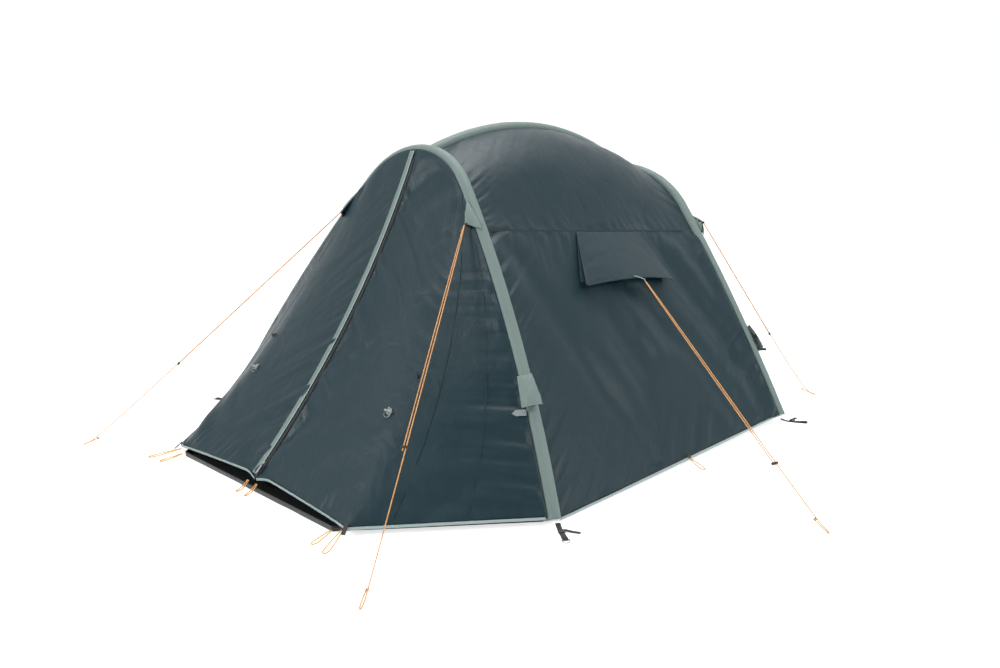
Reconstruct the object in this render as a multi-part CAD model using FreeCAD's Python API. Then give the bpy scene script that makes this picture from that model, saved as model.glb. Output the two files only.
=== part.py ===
import FreeCAD, Part
import math
import os

# An air-beam tent: two leaning inflatable arches, an inflatable ridge, a fly sheet with a pointed
# porch, a zipped door, vent hoods, guylines, peg loops, a groundsheet and a hanging inner tent.
# Frame: +Z up, X = 0 is the mirror plane, the door faces -Y. The origin is on the ground, midway
# between the feet of the front arch. Lengths are in millimetres and angles in degrees.

V = FreeCAD.Vector

# Beams and sleeves
beam_radius = 30.0
beam_clearance = 0.5
sleeve_wall = 2.0
sleeve_radius = beam_radius + beam_clearance + sleeve_wall
foot_height = 22.0
spine_end_slope = 0.266667
spine_end_gap = spine_end_slope * beam_radius

# Front arch
front_half_width = 1186.0
front_height = 1415.0
front_lean = 425.0
front_crown_radius = 425.0
front_leg_turn = 13.148291

# Rear arch
rear_foot_y = 1760.0
rear_half_width = 1265.0
rear_height = 1268.0
rear_lean = 292.0
rear_crown_radius = 620.0
rear_leg_turn = 6.48478

# The crown's angle settles to the leg's turn in this many steps
crown_steps = 40

# Ridge
ridge_peak_y = 1113.0
ridge_peak_height = 1518.0

# Fly sheet
panel_thickness = 2.0
seam_gap = 1.0
panel_gap = 3.0
hem_height = 42.0
hem_share = 0.99
wall_sag = 25.0
front_seam_share = 0.32
rear_seam_share = 0.38
hem_tape_height = 12.0
hem_tape_thickness = 2.5
hem_tape_end_gap = 8.0

# Porch and door
porch_reach = 600.0
porch_half_width = 660.0
porch_sag = 80.0
crease_share = 0.22
door_gap = 3.0
hinge_gap = 2.0
flap_tip = 30.0
strip_clearance = 8.0
zip_width = 10.0
zip_thickness = 1.6
storm_flap_width = 28.0
storm_flap_start = 13.0

# Zip slider
slider_width = 8.0
slider_length = 24.0
slider_thickness = 5.0
slider_start = 0.955
slider_lug = 7.0
pull_length = 34.0
pull_thickness = 1.6
pull_cheek_width = 1.6
pull_cheek_length = 10.0
pull_overlap = 1.5
pull_stand = 1.0
running_gap = 0.4

# Vents
vent_front_y = 955.0
vent_rear_y = 1455.0
vent_drop = 30.0
vent_height = 210.0
vent_margin = 40.0
hood_reach = 290.0
hood_flare = 180.0
hood_stand = 50.0
hood_bow = 30.0
hood_lip_rise = 35.0
hood_thickness = 2.5
hood_seam_stand = 4.0
hood_seam_drop = 6.0
mesh_thickness = 1.0

# Groundsheet
sheet_thickness = 3.0
sheet_gap = 14.0
sheet_front_y = -618.0
sheet_front_half_width = 590.0
upstand_height = 25.0
upstand_thickness = 2.0

# Inner tent
inner_front_y = 550.0
inner_rear_y = 1685.0
inner_floor_half_width = 1040.0
inner_wall = 2.0
inner_door_half_width = 210.0
inner_door_sill = 110.0
inner_door_top = 800.0
inner_door_corner = 90.0
inner_door_gap = 3.0
inner_floor_height = 4.0
inner_wall_height = 450.0
inner_wall_half_width = 790.0
inner_shoulder_height = 1060.0
inner_shoulder_half_width = 390.0
inner_peak_height = 1180.0

# Foot straps and rings
strap_width = 25.0
strap_thickness = 2.0
strap_length = 105.0
strap_loop_length = 12.0
strap_loop_height = 9.0
ring_wire_radius = 2.0
ring_half_width = 15.0
ring_leg_length = 8.0
ring_gap = 0.4
tail_length = 70.0
tail_width = 20.0
tail_start = 20.0
strap_overlap = 1.0
strap_loop_margin = 4.0

# Air valves
valve_share_front = 0.73
valve_share_rear = 0.76
valve_turn_front = -45.0
valve_turn_rear = 45.0
valve_radius = 16.0
valve_height = 6.0
cap_radius = 14.0
cap_height = 9.0
cap_roof = 2.0
cap_grips = 8
cap_grip_radius = 2.0
cap_grip_stand = 1.0
cap_gap = 0.4
flap_width = 88.0
flap_length = 140.0
flap_thickness = 2.5
flap_rise = 26.0
flap_bow = 0.45
flap_top_gap = 1.0

# Guylines
cord_diameter = 4.5
strand_spacing = 11.0
runner_width = 30.0
runner_depth = 9.0
runner_height = 9.0
runner_hole_gap = 0.6
gusset_gap = 2.0
gusset_share = 0.045
eye_gap = 8.0
loop_length = 72.0
loop_spread = 13.0
knot_overrun = 14.0
ground_gap = 0.5
gusset_share_front = 0.29
gusset_share_rear = 0.36
front_eye_step = (-22.31, -50.73, -45.68)
hood_eye_step = (47.38, -32.0, -3.5)
rear_eye_step = (18.62, 4.61, 13.57)

# Peg loops
loop_diameter = 5.0
loop_root_spacing = 7.0
loop_sag = 2.0
zip_loop_x = 34.0
zip_loop_y = -612.0
zip_loop_height = 37.0

# Door toggle
toggle_length = 44.0
toggle_radius = 4.5
toggle_neck_radius = 2.0
toggle_share = 0.69
toggle_across = 0.9
toggle_stand = 9.0


class Arch:
    """A leaning arch: a crown arc with two legs that curve on from it down to the ground."""

    def __init__(self, half_width, height, lean, foot_y, crown_radius, leg_turn):
        self.half_width = half_width
        self.foot_y = foot_y
        self.crown_radius = crown_radius
        self.leg_turn = math.radians(leg_turn)
        rise = math.hypot(height, lean)
        self.up = V(0, lean / rise, height / rise)
        self.back = V(0, height / rise, -lean / rise)
        self.crown_centre = rise - crown_radius
        self.crown_angle = 0.0
        for _ in range(crown_steps):
            self.shoulder_x = crown_radius * math.sin(self.crown_angle)
            self.shoulder_h = self.crown_centre + crown_radius * math.cos(self.crown_angle)
            reach = half_width - self.shoulder_x
            drop = self.shoulder_h - foot_height
            self.crown_angle = math.atan2(drop, reach) - self.leg_turn / 2
        self.leg_radius = math.hypot(reach, drop) / (2 * math.sin(self.leg_turn / 2))
        self.crown_length = crown_radius * self.crown_angle
        self.length = self.crown_length + self.leg_radius * self.leg_turn

    def angle(self, share):
        """How far the arch has turned at a share of its half length: 0 at the crown, 1 at a foot."""
        run = share * self.length
        if run < self.crown_length:
            return run / self.crown_radius
        return self.crown_angle + (run - self.crown_length) / self.leg_radius

    def point(self, share, side=1, out=0.0, along=0.0):
        """The point at a share of the half arch, moved outwards and along the tent."""
        turn = self.angle(share)
        if turn < self.crown_angle:
            x = (self.crown_radius + out) * math.sin(turn)
            h = self.crown_centre + (self.crown_radius + out) * math.cos(turn)
        else:
            x = self.shoulder_x + self.leg_radius * (math.sin(turn) - math.sin(self.crown_angle))
            h = self.shoulder_h + self.leg_radius * (math.cos(turn) - math.cos(self.crown_angle))
            x = x + out * math.sin(turn)
            h = h + out * math.cos(turn)
        return V(side * x, self.foot_y, 0) + self.up * h + self.back * along

    def outward(self, share, side=1):
        """The unit direction out of the arch, in its plane."""
        turn = self.angle(share)
        return V(side * math.sin(turn), 0, 0) + self.up * math.cos(turn)

    def downward(self, share, side=1):
        """The unit direction along the arch towards a foot."""
        turn = self.angle(share)
        return V(side * math.cos(turn), 0, 0) - self.up * math.sin(turn)

    def edges(self, out=0.0, along=0.0):
        """The outline from the left foot over the crown to the right foot, as three arcs."""
        shoulder = self.crown_length / self.length
        half = (1 + shoulder) / 2
        left = [self.point(share, -1, out, along) for share in (1, half, shoulder)]
        crown = [left[2], self.point(0, 1, out, along), self.point(shoulder, 1, out, along)]
        right = [self.point(share, 1, out, along) for share in (shoulder, half, 1)]
        return [Part.Arc(*three).toShape() for three in (left, crown, right)]


front = Arch(front_half_width, front_height, front_lean, 0.0, front_crown_radius, front_leg_turn)
rear = Arch(rear_half_width, rear_height, rear_lean, rear_foot_y, rear_crown_radius, rear_leg_turn)
rim = sleeve_radius + seam_gap

# Door outline: the top of the zip, its foot, and the corner of the porch on the right
porch_rim = rim + panel_thickness
zip_top = front.point(0, 1, 0, -porch_rim)
zip_foot = V(0, -porch_reach, hem_height)
porch_corner = V(porch_half_width, -porch_reach, hem_height)
zip_line = (zip_foot - zip_top).normalize()
inward = V(0, -zip_line.z, zip_line.y)


def lerp(p, q, share):
    """The point at a share of the way from p to q."""
    return p + (q - p) * share


def mirrored(point, side):
    """The point on the right for side 1, and its mirror image on the left for side -1."""
    return V(side * point.x, point.y, point.z)


def unit(vector):
    """The vector at length 1."""
    return V(vector).normalize()


def export(name, *solids):
    """Write one node: a single solid or a group of separate solids."""
    shape = solids[0] if len(solids) == 1 else Part.makeCompound(list(solids))
    shape.exportStep(os.path.join("parts", name + ".step"))


def pipe(edges, radius):
    """A round solid bar swept along edges that run on smoothly."""
    wire = Part.Wire(edges)
    first = edges[0]
    start = first.valueAt(first.FirstParameter)
    heading = first.tangentAt(first.FirstParameter)
    ring = Part.Wire([Part.makeCircle(radius, start, heading)])
    return wire.makePipeShell([ring], True, True)


def panel(surface, rows, columns, push):
    """A fabric panel: a smooth sheet through surface(u, v), with its thickness along push."""
    grid = []
    for row in range(rows):
        grid.append([surface(row / (rows - 1), column / (columns - 1)) for column in range(columns)])
    sheet = Part.BSplineSurface()
    sheet.interpolate(grid)
    return sheet.toShape().extrude(push)


def block(centre, x_axis, y_axis, sizes):
    """A rectangular block about its centre, with its sides along x_axis, y_axis and their normal."""
    ex = unit(x_axis)
    ez = unit(ex.cross(y_axis))
    ey = ez.cross(ex)
    corner = centre - ex * (sizes[0] / 2) - ey * (sizes[1] / 2) - ez * (sizes[2] / 2)
    corners = [corner, corner + ex * sizes[0], corner + ex * sizes[0] + ey * sizes[1], corner + ey * sizes[1]]
    face = Part.Face(Part.makePolygon(corners + [corner]))
    return face.extrude(ez * sizes[2])


def prism(points, push):
    """A straight prism on a flat outline."""
    return Part.Face(Part.makePolygon(points + [points[0]])).extrude(push)


# --- Beams and sleeves ---


def arch_beam(arch):
    """The inflated tube of an arch."""
    return pipe(arch.edges(), beam_radius)


def arch_sleeve(arch):
    """The fabric sleeve around an arch's tube, open at both feet."""
    return pipe(arch.edges(), sleeve_radius).cut(pipe(arch.edges(), sleeve_radius - sleeve_wall))


def spine_arc():
    """The ridge between the two crowns, as one arc over its peak."""
    start = front.point(0, 1, 0, rim + spine_end_gap)
    end = rear.point(0, 1, 0, -rim - spine_end_gap)
    return Part.Arc(start, V(0, ridge_peak_y, ridge_peak_height), end).toShape()


# --- Fly sheet ---


def ridge_lift(y, height):
    """How far the ridge stands above a straight line between the crowns at one place."""
    circle = spine_arc().Curve
    centre = circle.Center
    return centre.z + math.sqrt(circle.Radius ** 2 - (y - centre.y) ** 2) - height


def roof_point(side, u, v):
    """The roof, u from the front arch to the rear one and v from the ridge to the seam."""
    front_start = math.asin(rim / front.crown_radius) * front.crown_radius / front.length
    rear_start = math.asin(rim / rear.crown_radius) * rear.crown_radius / rear.length
    front_share = front_start + (front_seam_share - front_start) * v
    rear_share = rear_start + (rear_seam_share - rear_start) * v
    point = lerp(front.point(front_share, side, 0, rim), rear.point(rear_share, side, 0, -rim), u)
    middle = lerp(front.point(0, 1, 0, rim), rear.point(0, 1, 0, -rim), u)
    return point + V(0, 0, ridge_lift(middle.y, middle.z) * (1 - v * v) ** 2)


def roof(side):
    """One half of the roof."""
    return panel(lambda u, v: roof_point(side, u, v), 9, 9, V(0, 0, -panel_thickness))


def wall_point(side, u, v):
    """The side wall, u from the front arch to the rear one and v from the seam to the hem."""
    front_share = front_seam_share + panel_gap / front.length
    rear_share = rear_seam_share + panel_gap / rear.length
    head = front.point(front_share + (hem_share - front_share) * v, side, 0, rim)
    tail = rear.point(rear_share + (hem_share - rear_share) * v, side, 0, -rim)
    sag = wall_sag * 4 * u * (1 - u) * math.sin(math.pi * v)
    return lerp(head, tail, u) - V(side * sag, 0, 0)


def wall_place(side, y, drop):
    """The point of the side wall at one length and at a drop below the seam."""
    v = 0.0
    u = 0.0
    for _ in range(12):
        point = wall_point(side, u, v)
        u = u + (y - point.y) / (wall_point(side, 1, v).y - wall_point(side, 0, v).y)
        fall = (wall_point(side, u, 0) - wall_point(side, u, v)).Length
        v = v + (drop - fall) / (wall_point(side, u, 1) - wall_point(side, u, 0)).Length
    return wall_point(side, u, v)


def vent_hole(side, grow):
    """The prism that cuts the vent out of a side wall, or outlines its mesh."""
    top = vent_drop - grow
    bottom = vent_drop + vent_height + grow
    near = vent_front_y + vent_margin - grow
    far = vent_rear_y - vent_margin + grow
    places = ((near, top), (far, top), (far, bottom), (near, bottom))
    corners = []
    for y, drop in places:
        point = wall_place(side, y, drop)
        corners.append(V(side * 2 * front_half_width, point.y, point.z))
    return prism(corners, V(-side * 2 * front_half_width, 0, 0))


def side_wall(side):
    """A side wall with the vent cut out of it."""
    sheet = panel(lambda u, v: wall_point(side, u, v), 7, 9, V(-side * panel_thickness, 0, 0))
    return sheet.cut(vent_hole(side, 0))


def vent_mesh(side):
    """The mesh that fills a vent."""
    sheet = panel(lambda u, v: wall_point(side, u, v), 7, 9, V(-side * mesh_thickness, 0, 0))
    return sheet.common(vent_hole(side, -seam_gap))


def rear_wall():
    """The flat rear wall, in the plane of the rear arch."""
    edges = rear.edges(0, rim)
    ends = (rear.point(1, 1, 0, rim), rear.point(1, -1, 0, rim))
    wire = Part.Wire(edges + [Part.makeLine(*ends)])
    return Part.Face(wire).extrude(rear.back * panel_thickness)


# --- Porch and door ---


def door_point(side, u, v):
    """One half of the porch front, u from the zip to the crease and v from the crown to the hem."""
    top = front.point(crease_share * u, side, 0, -porch_rim)
    bottom = mirrored(lerp(zip_foot, porch_corner, u), side)
    return lerp(top, bottom, v) + inward * (porch_sag * 4 * v * (1 - v))


def porch_side_point(side, u, v):
    """One side of the porch, u from the crease to the arch leg and v from the top to the hem."""
    crease = door_point(side, 1, v) + V(side * panel_gap, 0, 0)
    share = crease_share + (hem_share - crease_share) * v
    leg = front.point(share + panel_gap * (1 - v) * 8 / front.length, side, 0, -porch_rim)
    return lerp(crease, leg, u)


def porch_side(side):
    """One side panel of the porch."""
    push = unit(V(-side, 1, -0.6)) * panel_thickness
    return panel(lambda u, v: porch_side_point(side, u, v), 5, 9, push)


def fold_line(height, shift):
    """Where the fold line from zip top to porch corner lies at one height, in front view."""
    share = (zip_top.z - height) / (zip_top.z - porch_corner.z)
    return lerp(zip_top, porch_corner, share).x + shift


def door_cut(side, shift, tip):
    """The prism that holds the door flap in front view, stopping short of both its tips."""
    high = zip_top.z - tip
    low = porch_corner.z - 2 * tip
    edge = porch_corner.x - tip
    turn = zip_top.z - (zip_top.z - porch_corner.z) * (edge - shift) / porch_corner.x
    outline = [(door_gap / 2, low), (edge, low), (edge, turn), (fold_line(high, shift), high)]
    corners = [V(side * x, -2 * porch_reach, z) for x, z in outline + [(door_gap / 2, high)]]
    return prism(corners, V(0, 4 * porch_reach, 0))


def door_sheet(side):
    """One whole half of the porch front, before it is parted along the fold line."""
    return panel(lambda u, v: door_point(side, u, v), 7, 9, inward * panel_thickness)


def door_flap(side):
    """The half door that swings open."""
    return door_sheet(side).common(door_cut(side, -hinge_gap / 2, flap_tip))


def door_head(side):
    """The part of the porch front that stays, from the fold line to the crease."""
    reach = 3 * porch_half_width
    outline = [(fold_line(-reach, hinge_gap / 2), -reach), (reach, -reach), (reach, reach)]
    outline.append((fold_line(reach, hinge_gap / 2), reach))
    corners = [V(side * x, -2 * porch_reach, z) for x, z in outline]
    return door_sheet(side).common(prism(corners, V(0, 4 * porch_reach, 0)))


def door_strip(side, near, far, stand, thickness, start=0.012, end=0.99):
    """A strip down the door beside the zip, from near to far from its middle line."""

    def point(u, v):
        place = door_point(side, 0, start + (end - start) * v) - inward * stand
        return place + V(side * (near + (far - near) * u), 0, 0)

    return panel(point, 2, 9, -inward * thickness)


def zip_tape(side):
    """One side of the zip, stopping short of the fold line."""
    tape_sheet = door_strip(side, door_gap / 2, door_gap / 2 + zip_width, seam_gap, zip_thickness)
    return tape_sheet.common(door_cut(side, -strip_clearance, flap_tip))


def storm_flap():
    """The light strip sewn beside the zip on the left half door, stopping short of the fold line."""
    near = storm_flap_start
    strip = door_strip(-1, near, near + storm_flap_width, seam_gap, panel_thickness)
    return strip.common(door_cut(-1, -strip_clearance, flap_tip))


def zip_place(share):
    """The middle of the zip at one share of its length, and its heading towards the top."""
    place = door_point(1, 0, share)
    ahead = door_point(1, 0, share - 0.01)
    return place, unit(ahead - place)


slider_stand = seam_gap + zip_thickness + running_gap


def zip_slider():
    """The slider, which runs on the left side of the zip, with a lug for its pull."""
    place, heading = zip_place(slider_start)
    across = -(door_gap / 2 + slider_width / 2)
    centre = place - inward * (slider_stand + slider_thickness / 2) + V(across, 0, 0)
    body = block(centre, V(1, 0, 0), heading, (slider_width, slider_length, slider_thickness))
    bore = Part.makeCylinder(
        pull_thickness, slider_width * 2, pull_hinge() + V(-slider_width, 0, 0), V(1, 0, 0)
    )
    lug = block(pull_hinge(), V(1, 0, 0), heading, (slider_width - 2, slider_lug, slider_lug))
    return body.fuse(lug).cut(bore)


def pull_hinge():
    """The middle of the pull's pin, on the front of the slider."""
    place, heading = zip_place(slider_start)
    across = -(door_gap / 2 + slider_width / 2)
    stand = slider_stand + slider_thickness + pull_thickness + pull_stand
    return place - inward * stand + V(across, 0, 0) - heading * 2.0


def zip_pull():
    """The pull: a pin through the slider's lug, two cheeks and a tab that hangs down from them."""
    heading = zip_place(slider_start)[1]
    middle = pull_hinge()
    radius = pull_thickness - running_gap / 4
    width = slider_width + 3.0
    pin = Part.makeCylinder(radius, width, middle - V(width / 2, 0, 0), V(1, 0, 0))
    parts = []
    for side in (-1, 1):
        across = V(side * (width - pull_cheek_width) / 2, 0, 0)
        centre = middle + across - heading * (pull_cheek_length / 2 - pull_overlap)
        cheek_sizes = (pull_cheek_width, pull_cheek_length, 2 * radius)
        parts.append(block(centre, V(1, 0, 0), heading, cheek_sizes))
    centre = middle - heading * (pull_cheek_length - 2 * pull_overlap + pull_length / 2)
    parts.append(block(centre, V(1, 0, 0), heading, (width, pull_length, 2 * radius)))
    return pin.multiFuse(parts).removeSplitter()


# --- Vent hoods ---


def hood_point(side, u, v):
    """The hood, u from its front edge to its rear one and v from the seam to the lip."""
    flare = hood_flare * v * (1 - u)
    y = vent_front_y - flare + (vent_rear_y - vent_front_y + flare) * u
    stand = hood_seam_stand + (hood_stand + hood_bow * 4 * u * (1 - u)) * v
    reach = hood_reach - hood_lip_rise * 4 * u * (1 - u)
    return wall_place(side, y, hood_seam_drop + reach * v) + V(side * stand, 0, 0)


def vent_hood(side):
    """The hood over a vent, hinged at the seam and held out by a guyline at its lip."""
    return panel(lambda u, v: hood_point(side, u, v), 5, 4, V(side * hood_thickness, 0, 0))


# --- Ground ---


def sheet_outline(inset):
    """The groundsheet's corners, in order, drawn in by inset."""
    rear_x = rear_half_width - sleeve_radius - sheet_gap - inset
    front_x = front_half_width - sleeve_radius - sheet_gap - inset
    nose_x = sheet_front_half_width - inset
    rear_y = rear_foot_y - inset
    nose_y = sheet_front_y + inset
    right = [V(nose_x, nose_y, 0), V(front_x, 0, 0), V(rear_x, rear_y, 0)]
    return right + [mirrored(point, -1) for point in reversed(right)]


def groundsheet():
    """The groundsheet with its low upstand."""
    tray = prism(sheet_outline(0), V(0, 0, upstand_height))
    inside = prism(sheet_outline(upstand_thickness), V(0, 0, upstand_height))
    inside.translate(V(0, 0, sheet_thickness))
    return tray.cut(inside)


def tape(start, end, outward):
    """A straight hem tape on the outside of a hem."""
    middle = lerp(start, end, 0.5) + outward * (hem_tape_thickness / 2 + seam_gap)
    middle = middle - V(0, 0, hem_tape_height / 2)
    length = (end - start).Length - 2 * hem_tape_end_gap
    return block(middle, end - start, outward, (length, hem_tape_thickness, hem_tape_height))


def hem_tapes():
    """The light tapes on the hems that stay: those of the side walls and of the porch sides."""
    tapes = []
    for side in (-1, 1):
        head = wall_point(side, 0, 1)
        tail = wall_point(side, 1, 1)
        tapes.append(tape(head, tail, V(side, 0, 0)))
        corner = porch_side_point(side, 0, 1)
        foot = porch_side_point(side, 1, 1)
        along = foot - corner
        tapes.append(tape(corner, foot, unit(V(side * along.y, -side * along.x, 0))))
    return tapes


# --- Feet ---


def foot_frame(arch, side, towards):
    """The start of a foot strap on the ground, its heading and the direction across it."""
    foot = V(side * (arch.half_width + sleeve_radius), arch.foot_y, 0)
    heading = unit(V(side * towards[0], towards[1], 0))
    return foot, heading, V(-heading.y, heading.x, 0)


def foot_strap(arch, side, towards):
    """A webbing strap on the ground with a loop at its end for a ring, and its loose tail."""
    foot, heading, across = foot_frame(arch, side, towards)
    middle = foot + heading * (strap_length / 2) + V(0, 0, strap_thickness / 2)
    strap = block(middle, heading, across, (strap_length, strap_width, strap_thickness))
    loop_middle = ring_centre(arch, side, towards)
    loop_sizes = (strap_loop_length, strap_width - strap_loop_margin, strap_loop_height)
    loop = block(loop_middle, heading, across, loop_sizes)
    bore_start = loop_middle - across * strap_width
    bore = Part.makeCylinder(ring_wire_radius + ring_gap, 2 * strap_width, bore_start, across)
    start = foot + heading * tail_start + across * (strap_width / 2 - 2)
    tail_heading = unit(across * side + heading * 0.4)
    tail_middle = start + tail_heading * (tail_length / 2) + V(0, 0, strap_thickness / 2)
    tail_across = tail_heading.cross(V(0, 0, 1))
    tail = block(tail_middle, tail_heading, tail_across, (tail_length, tail_width, strap_thickness))
    return strap.fuse(loop).cut(bore).fuse(tail)


def ring_centre(arch, side, towards):
    """The middle of a ring's straight bar, inside the strap's loop."""
    foot, heading = foot_frame(arch, side, towards)[:2]
    reach = strap_length + strap_loop_length / 2 - strap_overlap
    return foot + heading * reach + V(0, 0, strap_loop_height / 2)


def foot_ring(arch, side, towards):
    """A D-ring: a straight bar in the strap's loop and a round bow, lying out from the strap."""
    heading, across = foot_frame(arch, side, towards)[1:]
    middle = ring_centre(arch, side, towards)
    droop = unit(heading * 3 * ring_half_width - V(0, 0, strap_loop_height / 2 - ring_wire_radius))
    left = middle - across * ring_half_width
    right = middle + across * ring_half_width
    left_end = left + droop * ring_leg_length
    right_end = right + droop * ring_leg_length
    tip = middle + droop * (ring_leg_length + ring_half_width)
    bow = pipe([Part.Arc(left_end, tip, right_end).toShape()], ring_wire_radius)
    sides = [Part.makeCylinder(ring_wire_radius, ring_leg_length, p, droop) for p in (left, right)]
    bar = Part.makeCylinder(ring_wire_radius, 2 * ring_half_width, left, across)
    corners = [Part.makeSphere(ring_wire_radius, p) for p in (left, right)]
    return bow.multiFuse(sides + [bar] + corners)


front_strap_heading = (0.80, -0.60)
rear_strap_heading = (0.90, 0.43)


# --- Air valves ---


def valve_frame(arch, share, turn):
    """The place of a valve on the right leg, its axis, turned from outwards to the rear, and down the leg."""
    axis = arch.outward(share) * math.cos(math.radians(turn)) + arch.back * math.sin(math.radians(turn))
    place = arch.point(share) + axis * (sleeve_radius + seam_gap)
    return place, axis, arch.downward(share)


def valve_body(arch, share, turn):
    """The valve's base on the sleeve, with a stub that the cap turns on."""
    place, axis = valve_frame(arch, share, turn)[:2]
    base = Part.makeCylinder(valve_radius, valve_height, place, axis)
    stub = Part.makeCylinder(cap_radius / 2, cap_height, place, axis)
    stub.translate(axis * (valve_height / 2))
    return base.fuse(stub)


def valve_cap(arch, share, turn):
    """The turning cap on a valve's stub, with grip flats around it."""
    place, axis, down = valve_frame(arch, share, turn)
    bottom = place + axis * (valve_height + cap_gap)
    cap = Part.makeCylinder(cap_radius, cap_height, bottom, axis)
    hollow = Part.makeCylinder(cap_radius / 2 + cap_gap, cap_height - cap_roof, bottom, axis)
    grips = []
    across = axis.cross(down)
    for index in range(cap_grips):
        angle = math.radians(360 * index / cap_grips)
        towards = down * math.cos(angle) + across * math.sin(angle)
        spot = bottom + towards * (cap_radius + cap_grip_stand)
        grips.append(Part.makeCylinder(cap_grip_radius, cap_height, spot, axis))
    return cap.cut(hollow).cut(Part.makeCompound(grips))


def flap_line(arch, share, turn):
    """The middle of a valve flap's hinge line, and the frame it hangs in."""
    place, axis, down = valve_frame(arch, share, turn)
    return place + axis * flap_top_gap - down * (flap_length / 2), axis, down


def valve_flap(arch, share, turn):
    """The fabric flap over a valve: bowed across, hinged at its top and open at its bottom."""
    top, axis, down = flap_line(arch, share, turn)
    across = unit(axis.cross(down))

    def point(u, v):
        reach = down * (flap_length * v)
        opening = math.sin(math.pi / 2 * min(1.0, 1.25 * v))
        rise = axis * (flap_rise * opening * (1 - flap_bow * (2 * u - 1) ** 2))
        return top + reach + rise + across * (flap_width * (u - 0.5))

    return panel(point, 5, 6, axis * flap_thickness)


# --- Guylines ---


class Guy:
    """A guyline: where it is held, where its knot lies, and how far down it its runner sits."""

    def __init__(self, name, eye, knot, share):
        self.name = name
        self.eye = eye
        self.knot = V(*knot)
        self.share = share
        self.along = unit(self.knot - self.eye)
        self.across = unit(self.along.cross(V(0, 0, 1)))

    def points(self, side):
        """The cord's route: runner, up round the eye, down to the knot, round the peg loop."""
        offset = self.across * (strand_spacing / 2)
        start = self.eye + self.along * eye_gap
        total = (self.knot - self.eye).Length
        first = start + offset + self.along * (total * self.share + knot_overrun)
        flat = unit(V(self.along.x, self.along.y, 0))
        low = cord_diameter / 2 + ground_gap
        tip = self.knot + flat * loop_length + V(0, 0, low - self.knot.z)
        spread = self.across * (loop_spread / 2)
        route = [
            first,
            start + offset,
            start - offset,
            self.knot - offset,
            tip - spread * 1.8,
            tip + spread * 0.2,
            self.knot + offset * 0.2,
        ]
        return [mirrored(point, side) for point in route]

    def runner_frame(self, side):
        """The runner's centre, the cord's heading and the direction across both strands."""
        total = (self.knot - self.eye).Length
        centre = self.eye + self.along * (eye_gap + total * self.share)
        return mirrored(centre, side), mirrored(self.along, side), mirrored(self.across, side)


# The front and rear eyes step off their sleeves' skins, and the side eyes step off the hoods' lips
front_skin = front.point(gusset_share_front, 1, rim) - front.back * rim
rear_skin = rear.point(gusset_share_rear, 1, rim) + rear.back * rim
guys = [
    Guy("front", front_skin + V(*front_eye_step), (1077, -830, 30), 0.67),
    Guy("side", hood_point(1, 0.5, 1) + V(*hood_eye_step), (1945, 680, 30), 0.80),
    Guy("rear", rear_skin + V(*rear_eye_step), (1160, 2268, 30), 0.66),
]


def cord_edges(points, label):
    """Straight runs joined by tangent arcs through a route's points; prints its radii and length."""
    edges = []
    radii = []
    start = points[0]
    length = 0.0
    for before, corner, after in zip(points, points[1:], points[2:]):
        into = corner - before
        out = after - corner
        half_turn = into.getAngle(out) / 2
        trim = 0.45 * min(into.Length, out.Length)
        radius = trim / math.tan(half_turn)
        first = corner - unit(into) * trim
        last = corner + unit(out) * trim
        bend = unit(unit(out) - unit(into)) * (radius / math.cos(half_turn) - radius)
        edges.append(Part.makeLine(start, first))
        edges.append(Part.Arc(first, corner + bend, last).toShape())
        length = length + edges[-2].Length + edges[-1].Length
        radii.append(round(radius, 1))
        start = last
    edges.append(Part.makeLine(start, points[-1]))
    length = length + edges[-1].Length
    print(label, "radii", radii, "length", round(length, 1))
    return edges, length


def cord(points, diameter, label):
    """A round cord along a route, with its volume compared with its section times its length."""
    edges, length = cord_edges(points, label)
    tube = pipe(edges, diameter / 2)
    expected = math.pi * diameter ** 2 / 4 * length
    print(label, "volume ratio", round(tube.Volume / expected, 4))
    return tube


def runner(guy, side):
    """A guyline runner: a flat bar across both strands, with a hole for each."""
    centre, along, across = guy.runner_frame(side)
    bar = block(centre, across, along, (runner_width, runner_height, runner_depth))
    radius = cord_diameter / 2 + runner_hole_gap
    for offset in (-strand_spacing / 2, strand_spacing / 2):
        start = centre + across * offset - along * runner_height
        bar = bar.cut(Part.makeCylinder(radius, 2 * runner_height, start, along))
    return bar


def gusset(arch, share, guy, side, facing):
    """The pointed fabric gusset that takes a guyline's pull from the sleeve, as one closed wedge."""
    stand = sleeve_radius + seam_gap + gusset_gap
    slant = stand * math.sin(math.radians(45))
    high = arch.point(share - gusset_share, side, slant) + arch.back * (facing * slant)
    low = arch.point(share + gusset_share, side, slant * 0.6) + arch.back * (facing * stand)
    outer = arch.point(share + gusset_share, side, stand) + arch.back * (facing * stand * 0.3)
    eye = mirrored(guy.eye, side)
    corners = ((high, low, outer), (high, eye, low), (low, eye, outer), (outer, eye, high))
    faces = [Part.Face(Part.makePolygon(list(three) + [three[0]])) for three in corners]
    solid = Part.Solid(Part.makeShell(faces))
    return solid if solid.Volume > 0 else solid.reversed()


# --- Peg loops ---


def peg_loop(base, heading, reach, spread):
    """A loop's route: out from the hem, round a tip on the ground and back to the hem."""
    side = unit(V(-heading[1], heading[0], 0))
    out = unit(V(*heading))
    start = V(*base)
    root = side * (loop_root_spacing / 2)
    tip = V(start.x, start.y, (loop_diameter + ground_gap) / 2) + out * reach
    half = side * (spread / 2)
    mid = lerp(start, tip, 0.5) - V(0, 0, loop_sag)
    return [
        start - root,
        mid - half * 0.8,
        tip - out * (spread * 0.7) - half,
        tip - half * 0.45,
        tip + half * 0.45,
        tip - out * (spread * 0.7) + half,
        mid + half * 0.8,
        start + root,
    ]


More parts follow.
